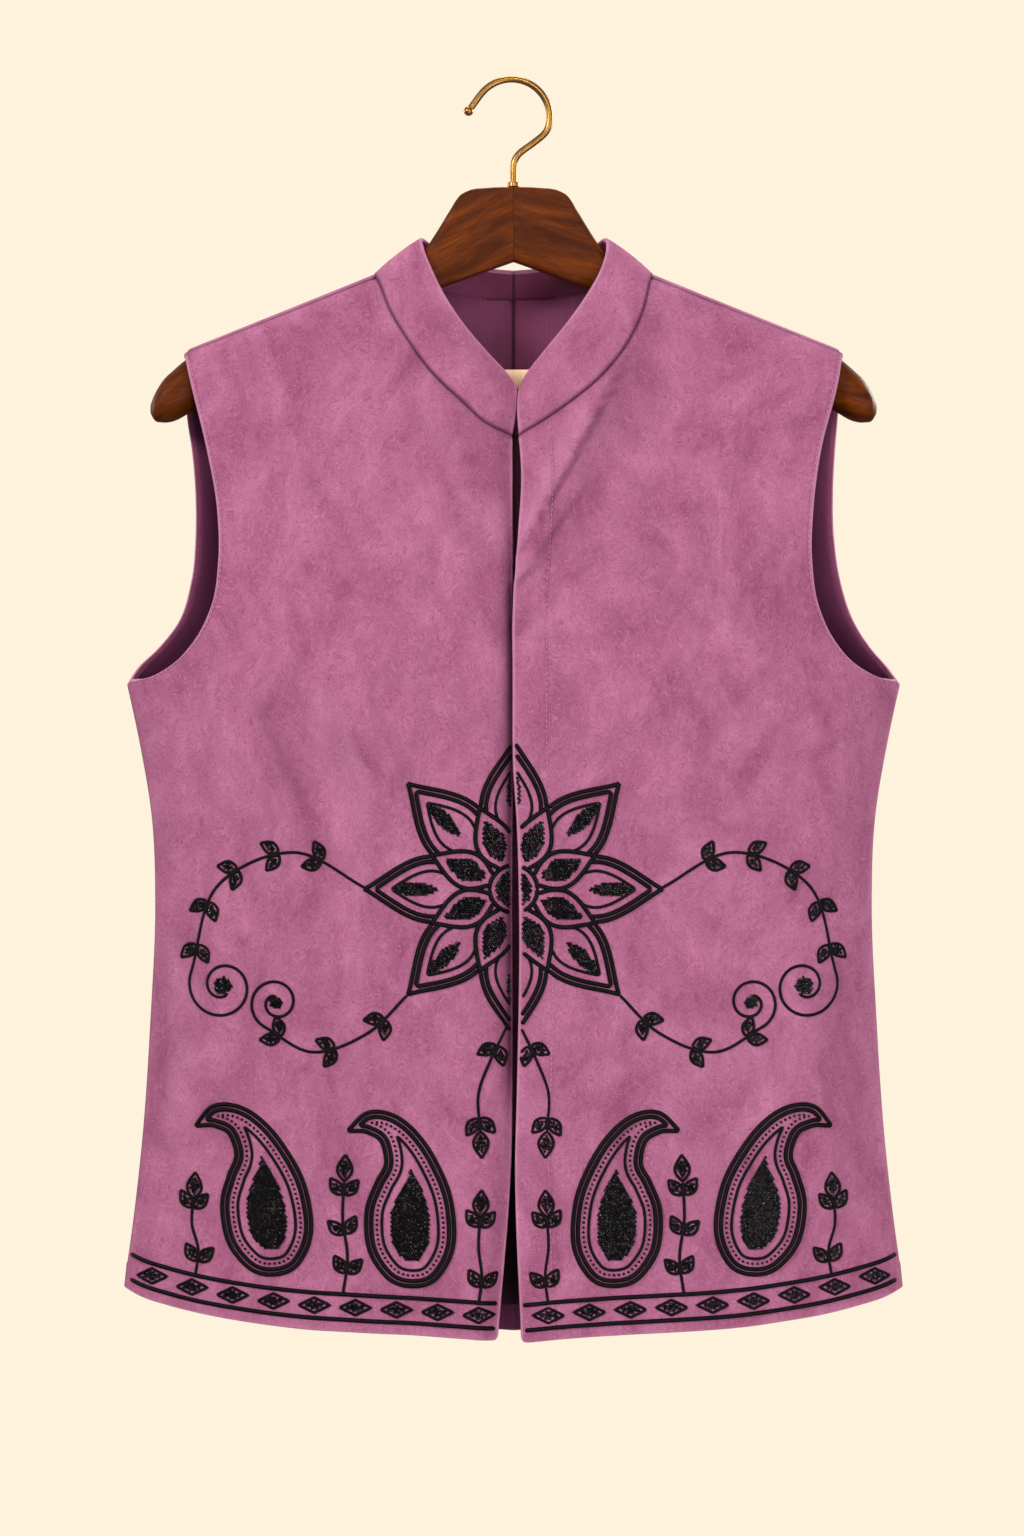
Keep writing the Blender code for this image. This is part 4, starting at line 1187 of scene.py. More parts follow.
def add_node(tree, kind, links=None, **settings):
    """A shader node. Settings are its properties, and links are its inputs' values or sockets."""
    made = tree.nodes.new("ShaderNode" + kind)
    for name, value in settings.items():
        setattr(made, name, value)
    for name, value in (links or {}).items():
        if isinstance(value, bpy.types.NodeSocket):
            tree.links.new(value, made.inputs[name])
        else:
            made.inputs[name].default_value = value
    return made


def new_material(name, **shader_inputs):
    """A material, its node tree, and its shader with plain inputs set."""
    made = bpy.data.materials.new(name)
    made.use_nodes = True
    shader = made.node_tree.nodes["Principled BSDF"]
    for key, value in shader_inputs.items():
        shader.inputs[key.replace("_", " ")].default_value = value
    return made, made.node_tree, shader


def mapped(tree, place, **settings):
    return add_node(tree, "Mapping", {"Vector": place, **settings}).outputs[0]


def noise(tree, scale, stretch=EVEN, detail=3.0, roughness=0.6, distortion=0.0, place=None):
    """Noise over a place or the object's own coordinates. Scale is in cycles for each metre."""
    if place is None:
        place = mapped(tree, add_node(tree, "TexCoord").outputs["Object"], Scale=stretch)
    inputs = {"Scale": scale, "Detail": detail, "Roughness": roughness, "Distortion": distortion}
    return add_node(tree, "TexNoise", {"Vector": place, **inputs}).outputs["Fac"]


def ramp(tree, value, low, high, first=0.0, last=1.0):
    """The value spread from a low to a high mark, as a share or between two numbers."""
    marks = {"Value": value, "From Min": low, "From Max": high, "To Min": first, "To Max": last}
    return add_node(tree, "MapRange", marks, clamp=True).outputs["Result"]


def coloured(tree, shader, base, layers):
    """Lays tints over a base colour, each by a ramp of a value: (value, low, high, first, last, tint)."""
    for value, low, high, first, last, tint in layers:
        share = ramp(tree, value, low, high, first, last)
        base = add_node(tree, "Mix", {0: share, 6: base, 7: tint}, data_type="RGBA").outputs[2]
    tree.links.new(base, shader.inputs["Base Color"])


def wear_and_painted_light_of(tree):
    return add_node(tree, "Attribute", attribute_name="wear").outputs["Fac"]


def bumped(tree, shader, layers):
    """Bump from layers of (height socket, strength, distance in metres)."""
    normal = None
    for height, strength, distance in layers:
        links = {"Height": height, "Strength": strength, "Distance": distance}
        if normal is not None:
            links["Normal"] = normal
        normal = add_node(tree, "Bump", links).outputs["Normal"]
    tree.links.new(normal, shader.inputs["Normal"])


def curled(tree, scale, reach, stretch):
    """The object's coordinates, stretched, with their direction turning softly from place to place."""
    place = add_node(tree, "TexCoord").outputs["Object"]
    waves = add_node(tree, "TexNoise", {"Vector": place, "Scale": scale, "Detail": 1.0})
    # The waves' colour runs from 0 to 1, so this spreads it from -reach to reach.
    spread = {0: waves.outputs["Color"], 1: (2 * reach,) * 3, 2: (-reach,) * 3}
    shift = add_node(tree, "VectorMath", spread, operation="MULTIPLY_ADD").outputs[0]
    moved = add_node(tree, "VectorMath", {0: place, 1: shift}, operation="ADD").outputs[0]
    return mapped(tree, moved, Scale=stretch)


def suede(name, middle, dark, light):
    """Brushed faux suede: soft blotches, and short curling strokes where the nap lies another way."""
    sheen = {"Sheen_Weight": 0.25, "Sheen_Roughness": 0.4, "Sheen_Tint": colour(232, 176, 214)}
    made, tree, shader = new_material(name, Roughness=0.95, Specular_IOR_Level=0.12, **sheen)
    brushed = curled(tree, 13.0, 0.03, (1.0, 1.0, 0.55))
    strokes = curled(tree, 70.0, 0.016, (1.0, 1.0, 0.5))
    blotch = noise(tree, 42.0, detail=5.0, place=brushed)
    patch = noise(tree, 120.0, detail=4.0, roughness=0.62, place=brushed)
    nap = noise(tree, 820.0, roughness=0.62, distortion=1.2, place=strokes)
    fibre = noise(tree, 2600.0, (1.0, 1.0, 0.7), 2.0, 0.5)
    wear = wear_and_painted_light_of(tree)
    layers = (
        (blotch, 0.36, 0.64, 0.0, 1.0, light),
        (patch, 0.34, 0.66, 0.15, 0.8, middle),
        (nap, 0.49, 0.36, 0.0, 0.7, dark),
        (nap, 0.52, 0.66, 0.0, 0.6, light),
        (fibre, 0.35, 0.65, 0.0, 0.26, dark),
        (wear, 0.0, 1.0, 0.0, 0.5, colour(224, 158, 190)),  # rubbed pale, and painted highlight and light
        (wear, 0.0, -1.0, 0.0, 0.7, colour(96, 46, 72)),  # pressed flat, and painted shade
        (wear, -0.9, -1.8, 0.0, 0.9, colour(26, 8, 16)),  # in deep shade
    )
    coloured(tree, shader, dark, layers)
    bumped(tree, shader, [(patch, 0.3, 0.0010), (nap, 0.6, 0.0005), (fibre, 0.3, 0.0002)])
    return made


def sateen(name, base, light, painted_light_colour):
    """Smooth lining cloth with a fine vertical weave, paler where light is painted on it."""
    sheen = {"Sheen_Weight": 0.1, "Sheen_Roughness": 0.4}
    made, tree, shader = new_material(name, Roughness=0.55, Specular_IOR_Level=0.15, **sheen)
    weave = noise(tree, 700.0, (1.0, 1.0, 0.06))
    cloud = noise(tree, 60.0, (1.0, 1.0, 0.3))
    wear = wear_and_painted_light_of(tree)
    layers = (
        (cloud, 0.35, 0.65, 0.0, 1.0, light),
        # painted light on the lining
        (wear, 0.0, 1.0, 0.0, 1.0, painted_light_colour),
        (weave, 0.4, 0.66, 0.0, 0.14, base),
        # painted deep shade
        (wear, -1.0, -1.9, 0.0, 0.8, colour(22, 6, 14)),
    )
    coloured(tree, shader, base, layers)
    bumped(tree, shader, [(weave, 0.15, 0.0002), (cloud, 0.2, 0.001)])
    return made


def thread(name, base, light, roughness):
    """Twisted thread: fine slanting strands."""
    made, tree, shader = new_material(name, Roughness=roughness, Specular_IOR_Level=0.15)
    strand = noise(tree, 1500.0, EVEN, 2.0, 0.5, 1.0)
    coloured(tree, shader, base, [(strand, 0.42, 0.68, 0.0, 1.0, light)])
    bumped(tree, shader, [(strand, 0.6, 0.0004)])
    return made


def beads_finish():
    """Cut black glass, a little grey where it catches dust."""
    made, tree, shader = new_material("beads", Roughness=0.24, Specular_IOR_Level=0.35)
    speck = noise(tree, 600.0, detail=1.0)
    coloured(tree, shader, colour(5, 5, 6), [(speck, 0.6, 0.75, 0.0, 1.0, colour(44, 50, 46))])
    return made


def wood(name, turn, base, dark, light, gloss, **shader_inputs):
    """Waxed wood with its grain along X, turned about Y, and a dark glue line at the middle."""
    made, tree, shader = new_material(name, Roughness=gloss, Specular_IOR_Level=0.1, **shader_inputs)
    place = add_node(tree, "TexCoord").outputs["Object"]
    turned = mapped(tree, place, Rotation=(0.0, turn, 0.0))
    coarse, streaked = (mapped(tree, turned, Scale=scale) for scale in ((1.0, 3.0, 6.0), (1.0, 12.0, 20.0)))
    figure = noise(tree, 15.0, detail=6.0, roughness=0.66, distortion=0.5, place=coarse)
    fine = noise(tree, 60.0, detail=4.0, roughness=0.7, place=streaked)
    x = add_node(tree, "SeparateXYZ", {"Vector": place}).outputs["X"]
    from_middle = add_node(tree, "Math", {0: x}, operation="ABSOLUTE").outputs[0]
    layers = (
        (figure, 0.38, 0.54, 0.0, 1.0, base),
        (figure, 0.54, 0.70, 0.0, 1.0, light),
        (fine, 0.50, 0.60, 0.0, 0.6, dark),
        (from_middle, 0.0006, 0.0002, 0.0, 0.8, dark),
    )
    coloured(tree, shader, dark, layers)
    bumped(tree, shader, [(fine, 0.10, 0.0002)])
    return made


def brass_finish():
    """Polished brass with faint rubbing marks."""
    made, tree, shader = new_material("brass_polished", Metallic=1.0)
    mark = noise(tree, 160.0, EVEN, 2.0)
    coloured(tree, shader, colour(164, 119, 60), [(mark, 0.3, 0.7, 0.0, 1.0, colour(180, 136, 76))])
    tree.links.new(ramp(tree, mark, 0.3, 0.75, 0.27, 0.32), shader.inputs["Roughness"])
    return made


# ---- The jacket's shells -------------------------------------------------------------------------

Looks = namedtuple("Looks", "suede lining inner_collar under wrong_side thread dark_thread cord beads")


def worn_and_painted(grid, sides, reach):
    """Wear, and painted light and shade, from a grid's sides, each with its strength: a number, or one for
    each row.
    """
    return sum(
        np.asarray(strength) * np.exp(-distance / reach)
        for strength, distance in zip(sides, from_sides(grid))
    )


def tuck_shadow(grid):
    """Painted shadow, dark, where the right front's edge passes under the left front."""
    z = grid[:, :1, 2]
    share = smoothstep((TUCK_TOP - z) / TUCK_FADE) * smoothstep((z - TUCK_FOOT) / TUCK_FADE)
    return -TUCK_SHADOW * share * np.exp(-((lengths_across(grid) / TUCK_REACH) ** TUCK_POWER))


def deep(grid):
    """How deep inside the closed jacket the cloth is, behind the vent, where deep shade is painted."""
    low = smoothstep((DEEP_TOP - grid[..., 2]) / DEEP_RISE)
    return low * np.exp(-((grid[..., 0] / DEEP_REACH) ** 2))


def lining_painted_light(grid):
    """The lining's painted light round the open neck and beside the armholes, and painted deep shade low
    down.
    """
    away = np.hypot(grid[..., 0], grid[..., 2] - PAINTED_LIGHT_Z) / PAINTED_LIGHT_REACH
    seam = np.exp(-np.abs(grid[..., 0]) / SEAM_REACH)
    armhole = np.zeros((len(grid), 1))
    armhole[UNDERARM_ROW[BACK] // 2 + 1 :] = ARMHOLE_PAINTED_LIGHT
    wear = np.exp(-(away**PAINTED_LIGHT_POWER)) + worn_and_painted(grid, (0, armhole, 0, 0), ARMHOLE_PAINTED_LIGHT_REACH)
    return wear - LINING_SEAM * seam - DEEP * deep(grid)


def fold_shading(face, grid):
    """Painted light and shade on the folds: paler where a fold rises toward the left, and darker where it
    falls away.
    """
    x, z = grid[..., 0], grid[..., 2]
    rise_x = (folded(face, x + 1, z) - folded(face, x - 1, z)) / 2
    rise_z = (folded(face, x, z + 1) - folded(face, x, z - 1)) / 2
    return np.clip(FOLD_SHADE_ACROSS * rise_x - FOLD_SHADE_UP * rise_z, -FOLD_SHADE_MOST, FOLD_SHADE_MOST)


def panel_wear_and_painted_light(side, face, grid):
    """Worn edges with a painted highlight at the opening, armhole and hem, nap pressed down at the seams
    with painted shade, and painted light and shade on the folds, below the collar and where the right front
    passes under the left.
    """
    from_centre, from_side, _, _ = from_sides(grid)
    row = np.arange(len(grid))[:, None]
    at_neck, at_armhole = row >= NECK_ROW[face], row > UNDERARM_ROW[face]
    opening = np.where(at_neck, 0, OPENING_WORN_HIGHLIGHT if face == FRONT else 0)
    centre = np.where(at_neck, -NECK_PRESSED_SHADE, 0 if face == FRONT else -SEAM_PRESSED_SHADE)
    armhole, side_seam = ARMHOLE_WORN_HIGHLIGHT * at_armhole, -SIDE_PRESSED_SHADE * ~at_armhole
    wear = worn_and_painted(grid, (opening, armhole, HEM_WORN_HIGHLIGHT, 0), WORN_HIGHLIGHT_REACH)
    wear += worn_and_painted(grid, (centre, side_seam, 0, -SEAM_PRESSED_SHADE), SEAM_REACH)
    wear += fold_shading(face, grid)
    wear -= STITCH_PRESSED_SHADE * at_armhole * stitch_line(from_side, ARMHOLE_STITCH)
    if face == FRONT:
        # Painted shade on the front just below the collar's seam.
        beside = at_neck & (np.abs(grid[:, :1, 0]) < UNDER_COLLAR_OUT)
        wear -= UNDER_COLLAR_SHADE * beside * np.exp(-from_centre / UNDER_COLLAR_REACH)
    if face == FRONT and side == LEFT:
        wear -= STITCH_PRESSED_SHADE * ~at_neck * stitch_line(from_centre, FLY_STITCH)
    if face == FRONT and side == RIGHT:
        wear += tuck_shadow(grid)
    return wear


def panel_rounding(face, shape):
    """How far each point of a panel's rim is rounded."""
    neck_from = NECK_ROW[face]
    rounding = np.full(shape, SEAM_ROUND)
    rounding[0] = EDGE_ROUND
    rounding[UNDERARM_ROW[face] + 1 :, -1] = EDGE_ROUND
    if face == FRONT:
        rounding[:neck_from, 0] = EDGE_ROUND
    rounding[neck_from:, 0] = NECK_ROUND
    return rounding


def cut_size(grid):
    """The flat width and length of a grid of cloth, and its flat area, in metres."""
    width = lengths_across(grid)[:, -1].max()
    length = lengths_across(grid.transpose(1, 0, 2))[:, -1].max()
    corners = ((grid[:-1, :-1], grid[1:, :-1], grid[:-1, 1:]), (grid[1:, 1:], grid[1:, :-1], grid[:-1, 1:]))
    area = sum(np.linalg.norm(np.cross(a - at, b - at), axis=-1).sum() / 2 for at, a, b in corners)
    return (width * MM, length * MM), area * MM * MM


def replace_node(piece, node):
    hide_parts(node)


def declare(piece, grid, node):
    """Hides the part's node that a piece stands for, after working out the flat size and area of its cloth.
    """
    flat, area = cut_size(grid)
    replace_node(piece, node)


def make_panel(side, face, cloth, looks):
    """A front or back panel with its topstitches, and a front's ornament."""
    name = f"{'front' if face == FRONT else 'back'}_{side_name(side)}"
    grid, inward = turned = with_turned_edges(side, face, cloth)
    rounding = panel_rounding(face, grid.shape[:2])
    # The inner side gets painted deep shade behind the vent.
    wear, inner_wear_and_painted_light = panel_wear_and_painted_light(side, face, cloth.grid), -DEEP_INSIDE * deep(cloth.grid)
    finishes = [looks.suede, looks.lining if face == FRONT else looks.wrong_side]
    piece = shell(name + "_cloth", turned, CLOTH, rounding, finishes, wear, inner_wear_and_painted_light)
    armhole, opening = slice(UNDERARM_ROW[face] + 2, -1), slice(2, NECK_ROW[face])
    lines = [at_distance(grid[armhole, ::-1], inward[armhole, ::-1], ARMHOLE_STITCH)]
    if face == FRONT and side == LEFT:
        lines.append(at_distance(grid[opening], inward[opening], FLY_STITCH))
    if face == BACK:
        lines.append(at_distance(grid.transpose(1, 0, 2), inward.transpose(1, 0, 2), HEM_STITCH))
    sewn_on = [stitches(name + "_topstitch", lines, looks.thread)]
    if face == FRONT:
        sewn_on += make_ornament(side, looks)
    declare(piece, cloth.grid, name)


def make_collar(side, collar, looks):
    """A half of the collar with a row of stitches inside its foot."""
    name = f"collar_{side_name(side)}"
    grid, inward = collar
    rounding = np.full(grid.shape[:2], SEAM_ROUND)
    rounding[0] = NECK_ROUND
    rounding[-1] = COLLAR_ROUND
    rounding[:, 0] = COLLAR_ROUND
    wear = worn_and_painted(grid, COLLAR_WORN_HIGHLIGHT, WORN_HIGHLIGHT_REACH) + worn_and_painted(grid, COLLAR_PRESSED_SHADE, SEAM_REACH)
    inner_wear_and_painted_light = worn_and_painted(grid, COLLAR_INSIDE_SHADE, SEAM_REACH)
    finishes = [looks.suede, looks.inner_collar]
    piece = shell(name + "_cloth", collar, COLLAR_WALL, rounding, finishes, wear, inner_wear_and_painted_light)
    inner = (grid + inward * COLLAR_WALL).transpose(1, 0, 2)
    line, normals = at_distance(inner, inward.transpose(1, 0, 2), FOOT_STITCH)
    sewn = stitches(name + "_footstitch", [(line, -normals)], looks.dark_thread)
    declare(piece, grid, name)


def drawn_in(lines, turn):
    """Moves each line's points onward: by a whole turn at its start, and not at all far from it."""
    for line, lengths in zip(lines, lengths_across(lines)):
        line[:] = at_lengths(line, lengths, lengths + turn * np.clip(1 - lengths / LINING_FADE, 0, 1))


def lining_of(back):
    """The back's lining: the back's own points moved in, short of the hem and the armholes."""
    grid = back.grid + back.inward * (CLOTH + GAP)
    drawn_in(grid.transpose(1, 0, 2), HEM_TURN)
    drawn_in(grid[UNDERARM_ROW[BACK] + 1 :, ::-1], ARMHOLE_TURN)
    neck = slice(NECK_ROW[BACK], None)
    over = unit(np.cross(np.gradient(grid[neck, 0], axis=0), back.inward[neck, 0]))
    grid[neck, 0] += over * np.where(over[:1, 2:] > 0, LINING_TUCK, -LINING_TUCK)
    rows, columns = thinned(len(grid)), [0, 1, *thinned(grid.shape[1])[1:]]
    return Cloth(*(each[rows][:, columns] for each in (grid, back.inward)))


def thinned(count):
    """Every second row or column, and the last one."""
    return [*range(0, count - 1, 2), count - 1]


def make_lining(side, back, looks):
    """A half of the back's lining."""
    name = f"lining_back_{side_name(side)}"
    lining = lining_of(back)
    rounding, wear = np.full(lining.grid.shape[:2], LINING_ROUND), lining_painted_light(lining.grid)
    piece = shell(name + "_cloth", lining, LINING, rounding, [looks.lining], wear, wear)
    declare(piece, lining.grid, name)


def underlap_of(front):
    """The strip behind the right front's edge that passes under the left front."""
    edge = front.grid + front.inward * (CLOTH + GAP)
    last = int(np.argmin(np.abs(front.grid[:, 0, 2] - UNDERLAP_END)))
    rows = slice(last, NECK_ROW[FRONT])
    inner, outer = edge[rows, UNDERLAP_COLUMN], edge[rows, 0]
    far = outer.copy()
    far[:, 0] = UNDERLAP_REACH
    far[:, 1] += UNDERLAP_SINK
    steps = np.linspace(0, 1, UNDERLAP_COLUMNS)[:, None, None]
    under, past = inner * (1 - steps) + outer * steps, outer * (1 - steps) + far * steps
    grid = np.concatenate([under, past[1:]]).transpose(1, 0, 2)
    return Cloth(grid, np.broadcast_to(BACKWARD, grid.shape))


def make_underlap(front, looks):
    strip = underlap_of(front)
    rounding = np.full(strip.grid.shape[:2], SEAM_ROUND)
    piece = shell("underlap_cloth", strip, UNDERLAP_WALL, rounding, [looks.under])
    declare(piece, strip.grid, "front_right_underlap")


def jacket_looks():
    """The finishes of the jacket and of what is sewn on it."""
    return Looks(
        suede("suede_mauve", colour(183, 108, 143), colour(150, 78, 111), colour(211, 136, 172)),
        sateen("lining_plum", colour(72, 26, 52), colour(83, 34, 62), colour(152, 76, 117)),
        sateen("sateen_mauve", colour(138, 69, 104), colour(147, 76, 112), colour(166, 91, 128)),
        # The underlap's suede is a copy of the suede darkened to stand in for the shade that it lies in.
        suede("suede_painted_shade", colour(60, 24, 42), colour(44, 16, 30), colour(76, 34, 54)),
        suede("suede_wrong_side", colour(150, 76, 112), colour(132, 66, 98), colour(166, 92, 128)),
        thread("thread_mauve", colour(196, 124, 160), colour(232, 172, 204), 0.6),
        thread("thread_dark", colour(70, 30, 50), colour(120, 66, 92), 0.6),
        thread("cord_black", colour(2, 1, 2), colour(16, 8, 13), 0.5),
        beads_finish(),
    )


def make_jacket():
    """Every cloth node's shell, with what is sewn on it."""
    looks = jacket_looks()
    for side in (RIGHT, LEFT):
        front, back, collar = jacket_half(side)
        make_panel(side, FRONT, front, looks)
        make_panel(side, BACK, back, looks)
        make_collar(side, collar, looks)
        make_lining(side, back, looks)
        if side == RIGHT:
            make_underlap(front, looks)


# ---- The ornament --------------------------------------------------------------------------------
# Flat drawings are (x, z) on the left front, and the right front's are their mirror image. A cord
# isn't drawn where an outline of another motif hides it.

Cord = namedtuple("Cord", "line radius hidden_by")
Fill = namedtuple("Fill", "outline margin")


def front_surface(side, drawing):
    """Points of a drawing laid on a front panel, and the way out of the cloth there."""

    def laid(x, z):
        return body_point(side, FRONT, np.stack([x, down_to(x, z)], -1))

    x, z = drawing.T
    points = laid(x, z)
    normal = unit(np.cross(laid(x + SMALL_STEP, z) - points, laid(x, z + SMALL_STEP) - points))
    return points, normal * np.where(normal[:, 1:2] > 0, -1, 1)


def inside_outline(points, outline):
    """Which points lie inside a closed outline."""
    x, z = points.T
    inside = np.zeros(len(points), bool)
    for (x0, z0), (x1, z1) in zip(outline, np.roll(outline, -1, axis=0)):
        if z0 != z1:
            inside ^= ((z0 > z) != (z1 > z)) & (x < (x1 - x0) * (z - z0) / (z1 - z0) + x0)
    return inside


def distance_to(points, outline):
    """The distance from points to the nearest point of an outline."""
    return np.linalg.norm(points[:, None] - outline[None], axis=-1).min(1)


def evenly(line, step):
    """A drawn line with its points about a step apart."""
    lengths = lengths_along(line)
    count = max(4, int(lengths[-1] / step) + 1)
    return along(line, np.linspace(0, 1, count))


def closed(outline):
    return np.concatenate([outline, outline[:1]])


def left_of(way):
    return np.stack([-way[..., 1], way[..., 0]], -1)


def inset(outline, distance):
    """A closed line inside an outline, a distance from it."""
    aside = left_of(unit(np.roll(outline, -1, axis=0) - np.roll(outline, 1, axis=0)))
    moved = outline + aside * distance
    if inside_outline(moved, outline).mean() < 0.5:
        moved = outline - aside * distance
    moved = moved[inside_outline(moved, outline)]
    return closed(moved[distance_to(moved, outline) > INSET_CLEAR * distance])


def kept_runs(side, cord):
    """The parts of a cord's line that lie on the panel and in sight."""
    line = evenly(cord.line, CORD_STEP)
    keep = line[:, 0] > edge_at(side, line[:, 1]) + EDGE_CLEAR
    for outline in cord.hidden_by:
        keep &= ~inside_outline(line, outline)
    breaks = np.flatnonzero(np.diff(keep)) + 1
    runs = np.split(line, breaks)
    return [run for run, kept in zip(runs, np.split(keep, breaks)) if kept[0] and len(run) >= SHORTEST_RUN]


def bead_places(side, fills, strings):
    """Where beads sit: in close, slightly uneven rows inside outlines, and spaced along strings."""
    uneven = np.random.default_rng(BEAD_SEED)
    found = [evenly(line, STRING_PITCH) for line in strings]
    for outline, margin in fills:
        low, high = outline.min(0), outline.max(0)
        for k, z in enumerate(np.arange(low[1], high[1], BEAD_PITCH * math.sqrt(3) / 2)):
            x = np.arange(low[0] + (k % 2) * BEAD_PITCH / 2, high[0], BEAD_PITCH)
            row = np.stack([x, np.full_like(x, z)], -1)
            row = row[inside_outline(row, outline)]
            row = row[distance_to(row, outline) > margin] if len(row) else row
            found.append(row + uneven.uniform(-BEAD_UNEVEN, BEAD_UNEVEN, row.shape))
    places = np.concatenate(found)
    return places[places[:, 0] > edge_at(side, places[:, 1]) + EDGE_CLEAR]


def leaf(foot, tip, half_width, count=PETAL_POINTS):
    """A pointed leaf's closed outline, widest nearer its foot."""
    t = np.linspace(0, 1, count)[:, None]
    swell = half_width * np.sin(math.pi * t**BELLY) ** POINT * left_of(unit(tip - foot))
    middle = foot + t * (tip - foot)
    return np.concatenate([middle + swell, (middle - swell)[-2:0:-1]])


def circle(centre, radius, count):
    """A closed outline's points round a centre, from its right."""
    turns = np.linspace(0, 2 * math.pi, count)[:-1, None]
    return centre + radius * np.concatenate([np.cos(turns), np.sin(turns)], 1)


def rosette():
    """The lotus: eight petals over eight longer ones, round a disc."""
    centre = np.array(ROSETTE)
    disc = circle(centre, DISC_RADIUS, DISC_POINTS)
    turns = np.radians(np.arange(2 * PETALS) * 180 / PETALS)
    ways = [np.array([math.cos(turn), math.sin(turn)]) for turn in turns]
    near, far, hearts = (
        [leaf(centre + start * way, centre + end * way, half_width) for way in ways[first::2]]
        for first, (start, end, half_width) in zip((1, 0, 0), PETAL.values())
    )
    cords = [Cord(closed(disc), CORD, ())]
    cords += [Cord(closed(petal), CORD, (disc,)) for petal in near]
    for k, petal in enumerate(far):
        over = near[k], near[k - 1], disc
        beside = far[k - 1], far[k + 1 - PETALS]
        cords.append(Cord(closed(petal), CORD, (*over, far[k - 1])))
        cords.append(Cord(inset(petal, DOUBLE), CORD, (*over, *beside)))
        cords.append(Cord(inset(petal, PETAL_INSET), THIN_CORD, (*over, *beside)))
    fills = [Fill(disc, DISC_MARGIN)] + [Fill(petal, NEAR_MARGIN) for petal in near]
    fills += [Fill(heart, HEART_MARGIN) for heart in hearts]
    return cords, fills, [], [*far, *near]


def buta(place):
    """A curled drop, cord within cord, with a string of beads and a beaded heart."""
    outline = smooth_path(closed(column(BUTA_OUTLINE, "x", "z")), BUTA_POINTS)[:-1]
    lean = math.radians(place.lean)
    leant = np.array([[math.cos(lean), -math.sin(lean)], [math.sin(lean), math.cos(lean)]])
    outline = outline * (place.width, place.height) @ leant + (place.x, place.z)
    cords = [Cord(closed(outline), CORD, ()), Cord(inset(outline, DOUBLE), CORD, ())]
    cords.append(Cord(inset(outline, RING_INSET), THIN_CORD, ()))
    return cords, [Fill(outline, HEART_INSET)], [inset(outline, STRING_INSET)], [outline]


def scrolled(line, radius):
    """The line, wound on into a scroll to its left, or to its right where the radius is negative."""
    ahead = unit(line[-1] - line[-2])
    aside = left_of(ahead) * math.copysign(1, radius)
    share = np.linspace(0, 1, SCROLL_POINTS)[1:, None]
    turn = share * SCROLL_TURNS * 2 * math.pi
    reach = abs(radius) * (1 - (1 - SCROLL_CORE) * share)
    eye = line[-1] + aside * abs(radius)
    return np.concatenate([line, eye + reach * (ahead * np.sin(turn) - aside * np.cos(turn))]), eye


def vine(place, hidden_by):
    """A stem with pairs of beaded leaves, and a scroll round a beaded eye or a bud at its end."""
    points = np.array([getattr(place, f"{axis}{k}") for k in range(4) for axis in "xz"])
    line = smooth_path(points.reshape(4, 2), STEM_POINTS)
    stem, leaves, fills = line, [], []
    if place.scroll:
        stem, eye = scrolled(line, place.scroll)
        fills.append(Fill(circle(eye, abs(place.scroll) * SCROLL_CORE, EYE_POINTS), EYE_MARGIN))
    else:
        tip = line[-1] + unit(line[-1] - line[-9]) * BUD_LENGTH
        leaves.append(leaf(line[-1], tip, BUD_WIDTH, LEAF_POINTS))
    for share in np.linspace(FIRST_LEAF, LAST_LEAF, place.pairs):
        at, onward = along(line, [share, share + STEM_STEP])
        ahead = unit(onward - at)
        for aside in (-left_of(ahead), left_of(ahead)):
            foot = at + aside * LEAF_OUT
            tip = foot + unit(ahead + LEAF_SPREAD * aside) * LEAF_LENGTH
            leaves.append(leaf(foot, tip, LEAF_WIDTH, LEAF_POINTS))
    shown = [each for each in leaves if not any(inside_outline(each, other).any() for other in hidden_by)]
    cords = [Cord(stem, THIN_CORD, hidden_by)] + [Cord(closed(each), THIN_CORD, ()) for each in shown]
    return cords, fills + [Fill(each, LEAF_MARGIN) for each in shown]


def border():
    """Two lines along the hem, with lozenges between them."""
    out = np.linspace(0, BORDER_END, BORDER_POINTS)
    cords = [Cord(np.stack([out, hem_at(out) + above], -1), CORD, ()) for above in BORDER_LINES]
    fills = []
    lozenge = closed(np.array([[1, 0], [0, 1], [-1, 0], [0, -1]]) * (LOZENGE_LONG, LOZENGE_TALL))
    for x in np.arange(BORDER_FIRST, BORDER_LAST, BORDER_PITCH):
        at = np.array([x, hem_at(x) + sum(BORDER_LINES) / 2])
        outline = along(at + lozenge, np.linspace(0, 1, LOZENGE_POINTS))[:-1]
        cords.append(Cord(closed(outline), THIN_CORD, ()))
        fills.append(Fill(outline, LOZENGE_MARGIN))
    return cords, fills


def ornament():
    """The whole drawing: its cords, the outlines that beads fill, and the strings of beads."""
    cords, fills, strings, outlines = rosette()
    for place in BUTAS:
        for whole, part in zip((cords, fills, strings, outlines), buta(place)):
            whole.extend(part)
    for more_cords, more_fills in [*(vine(place, tuple(outlines)) for place in VINES), border()]:
        cords += more_cords
        fills += more_fills
    return cords, fills, strings


def bead_form():
    """A cut bead: facets between two flats."""
    size, height = column(BEAD, "size", "height").T[:, :, None] * BEAD_RADIUS
    turns = turns_round(BEAD_SIDES)
    return loft(line_of(size * np.cos(turns), size * np.sin(turns), height))


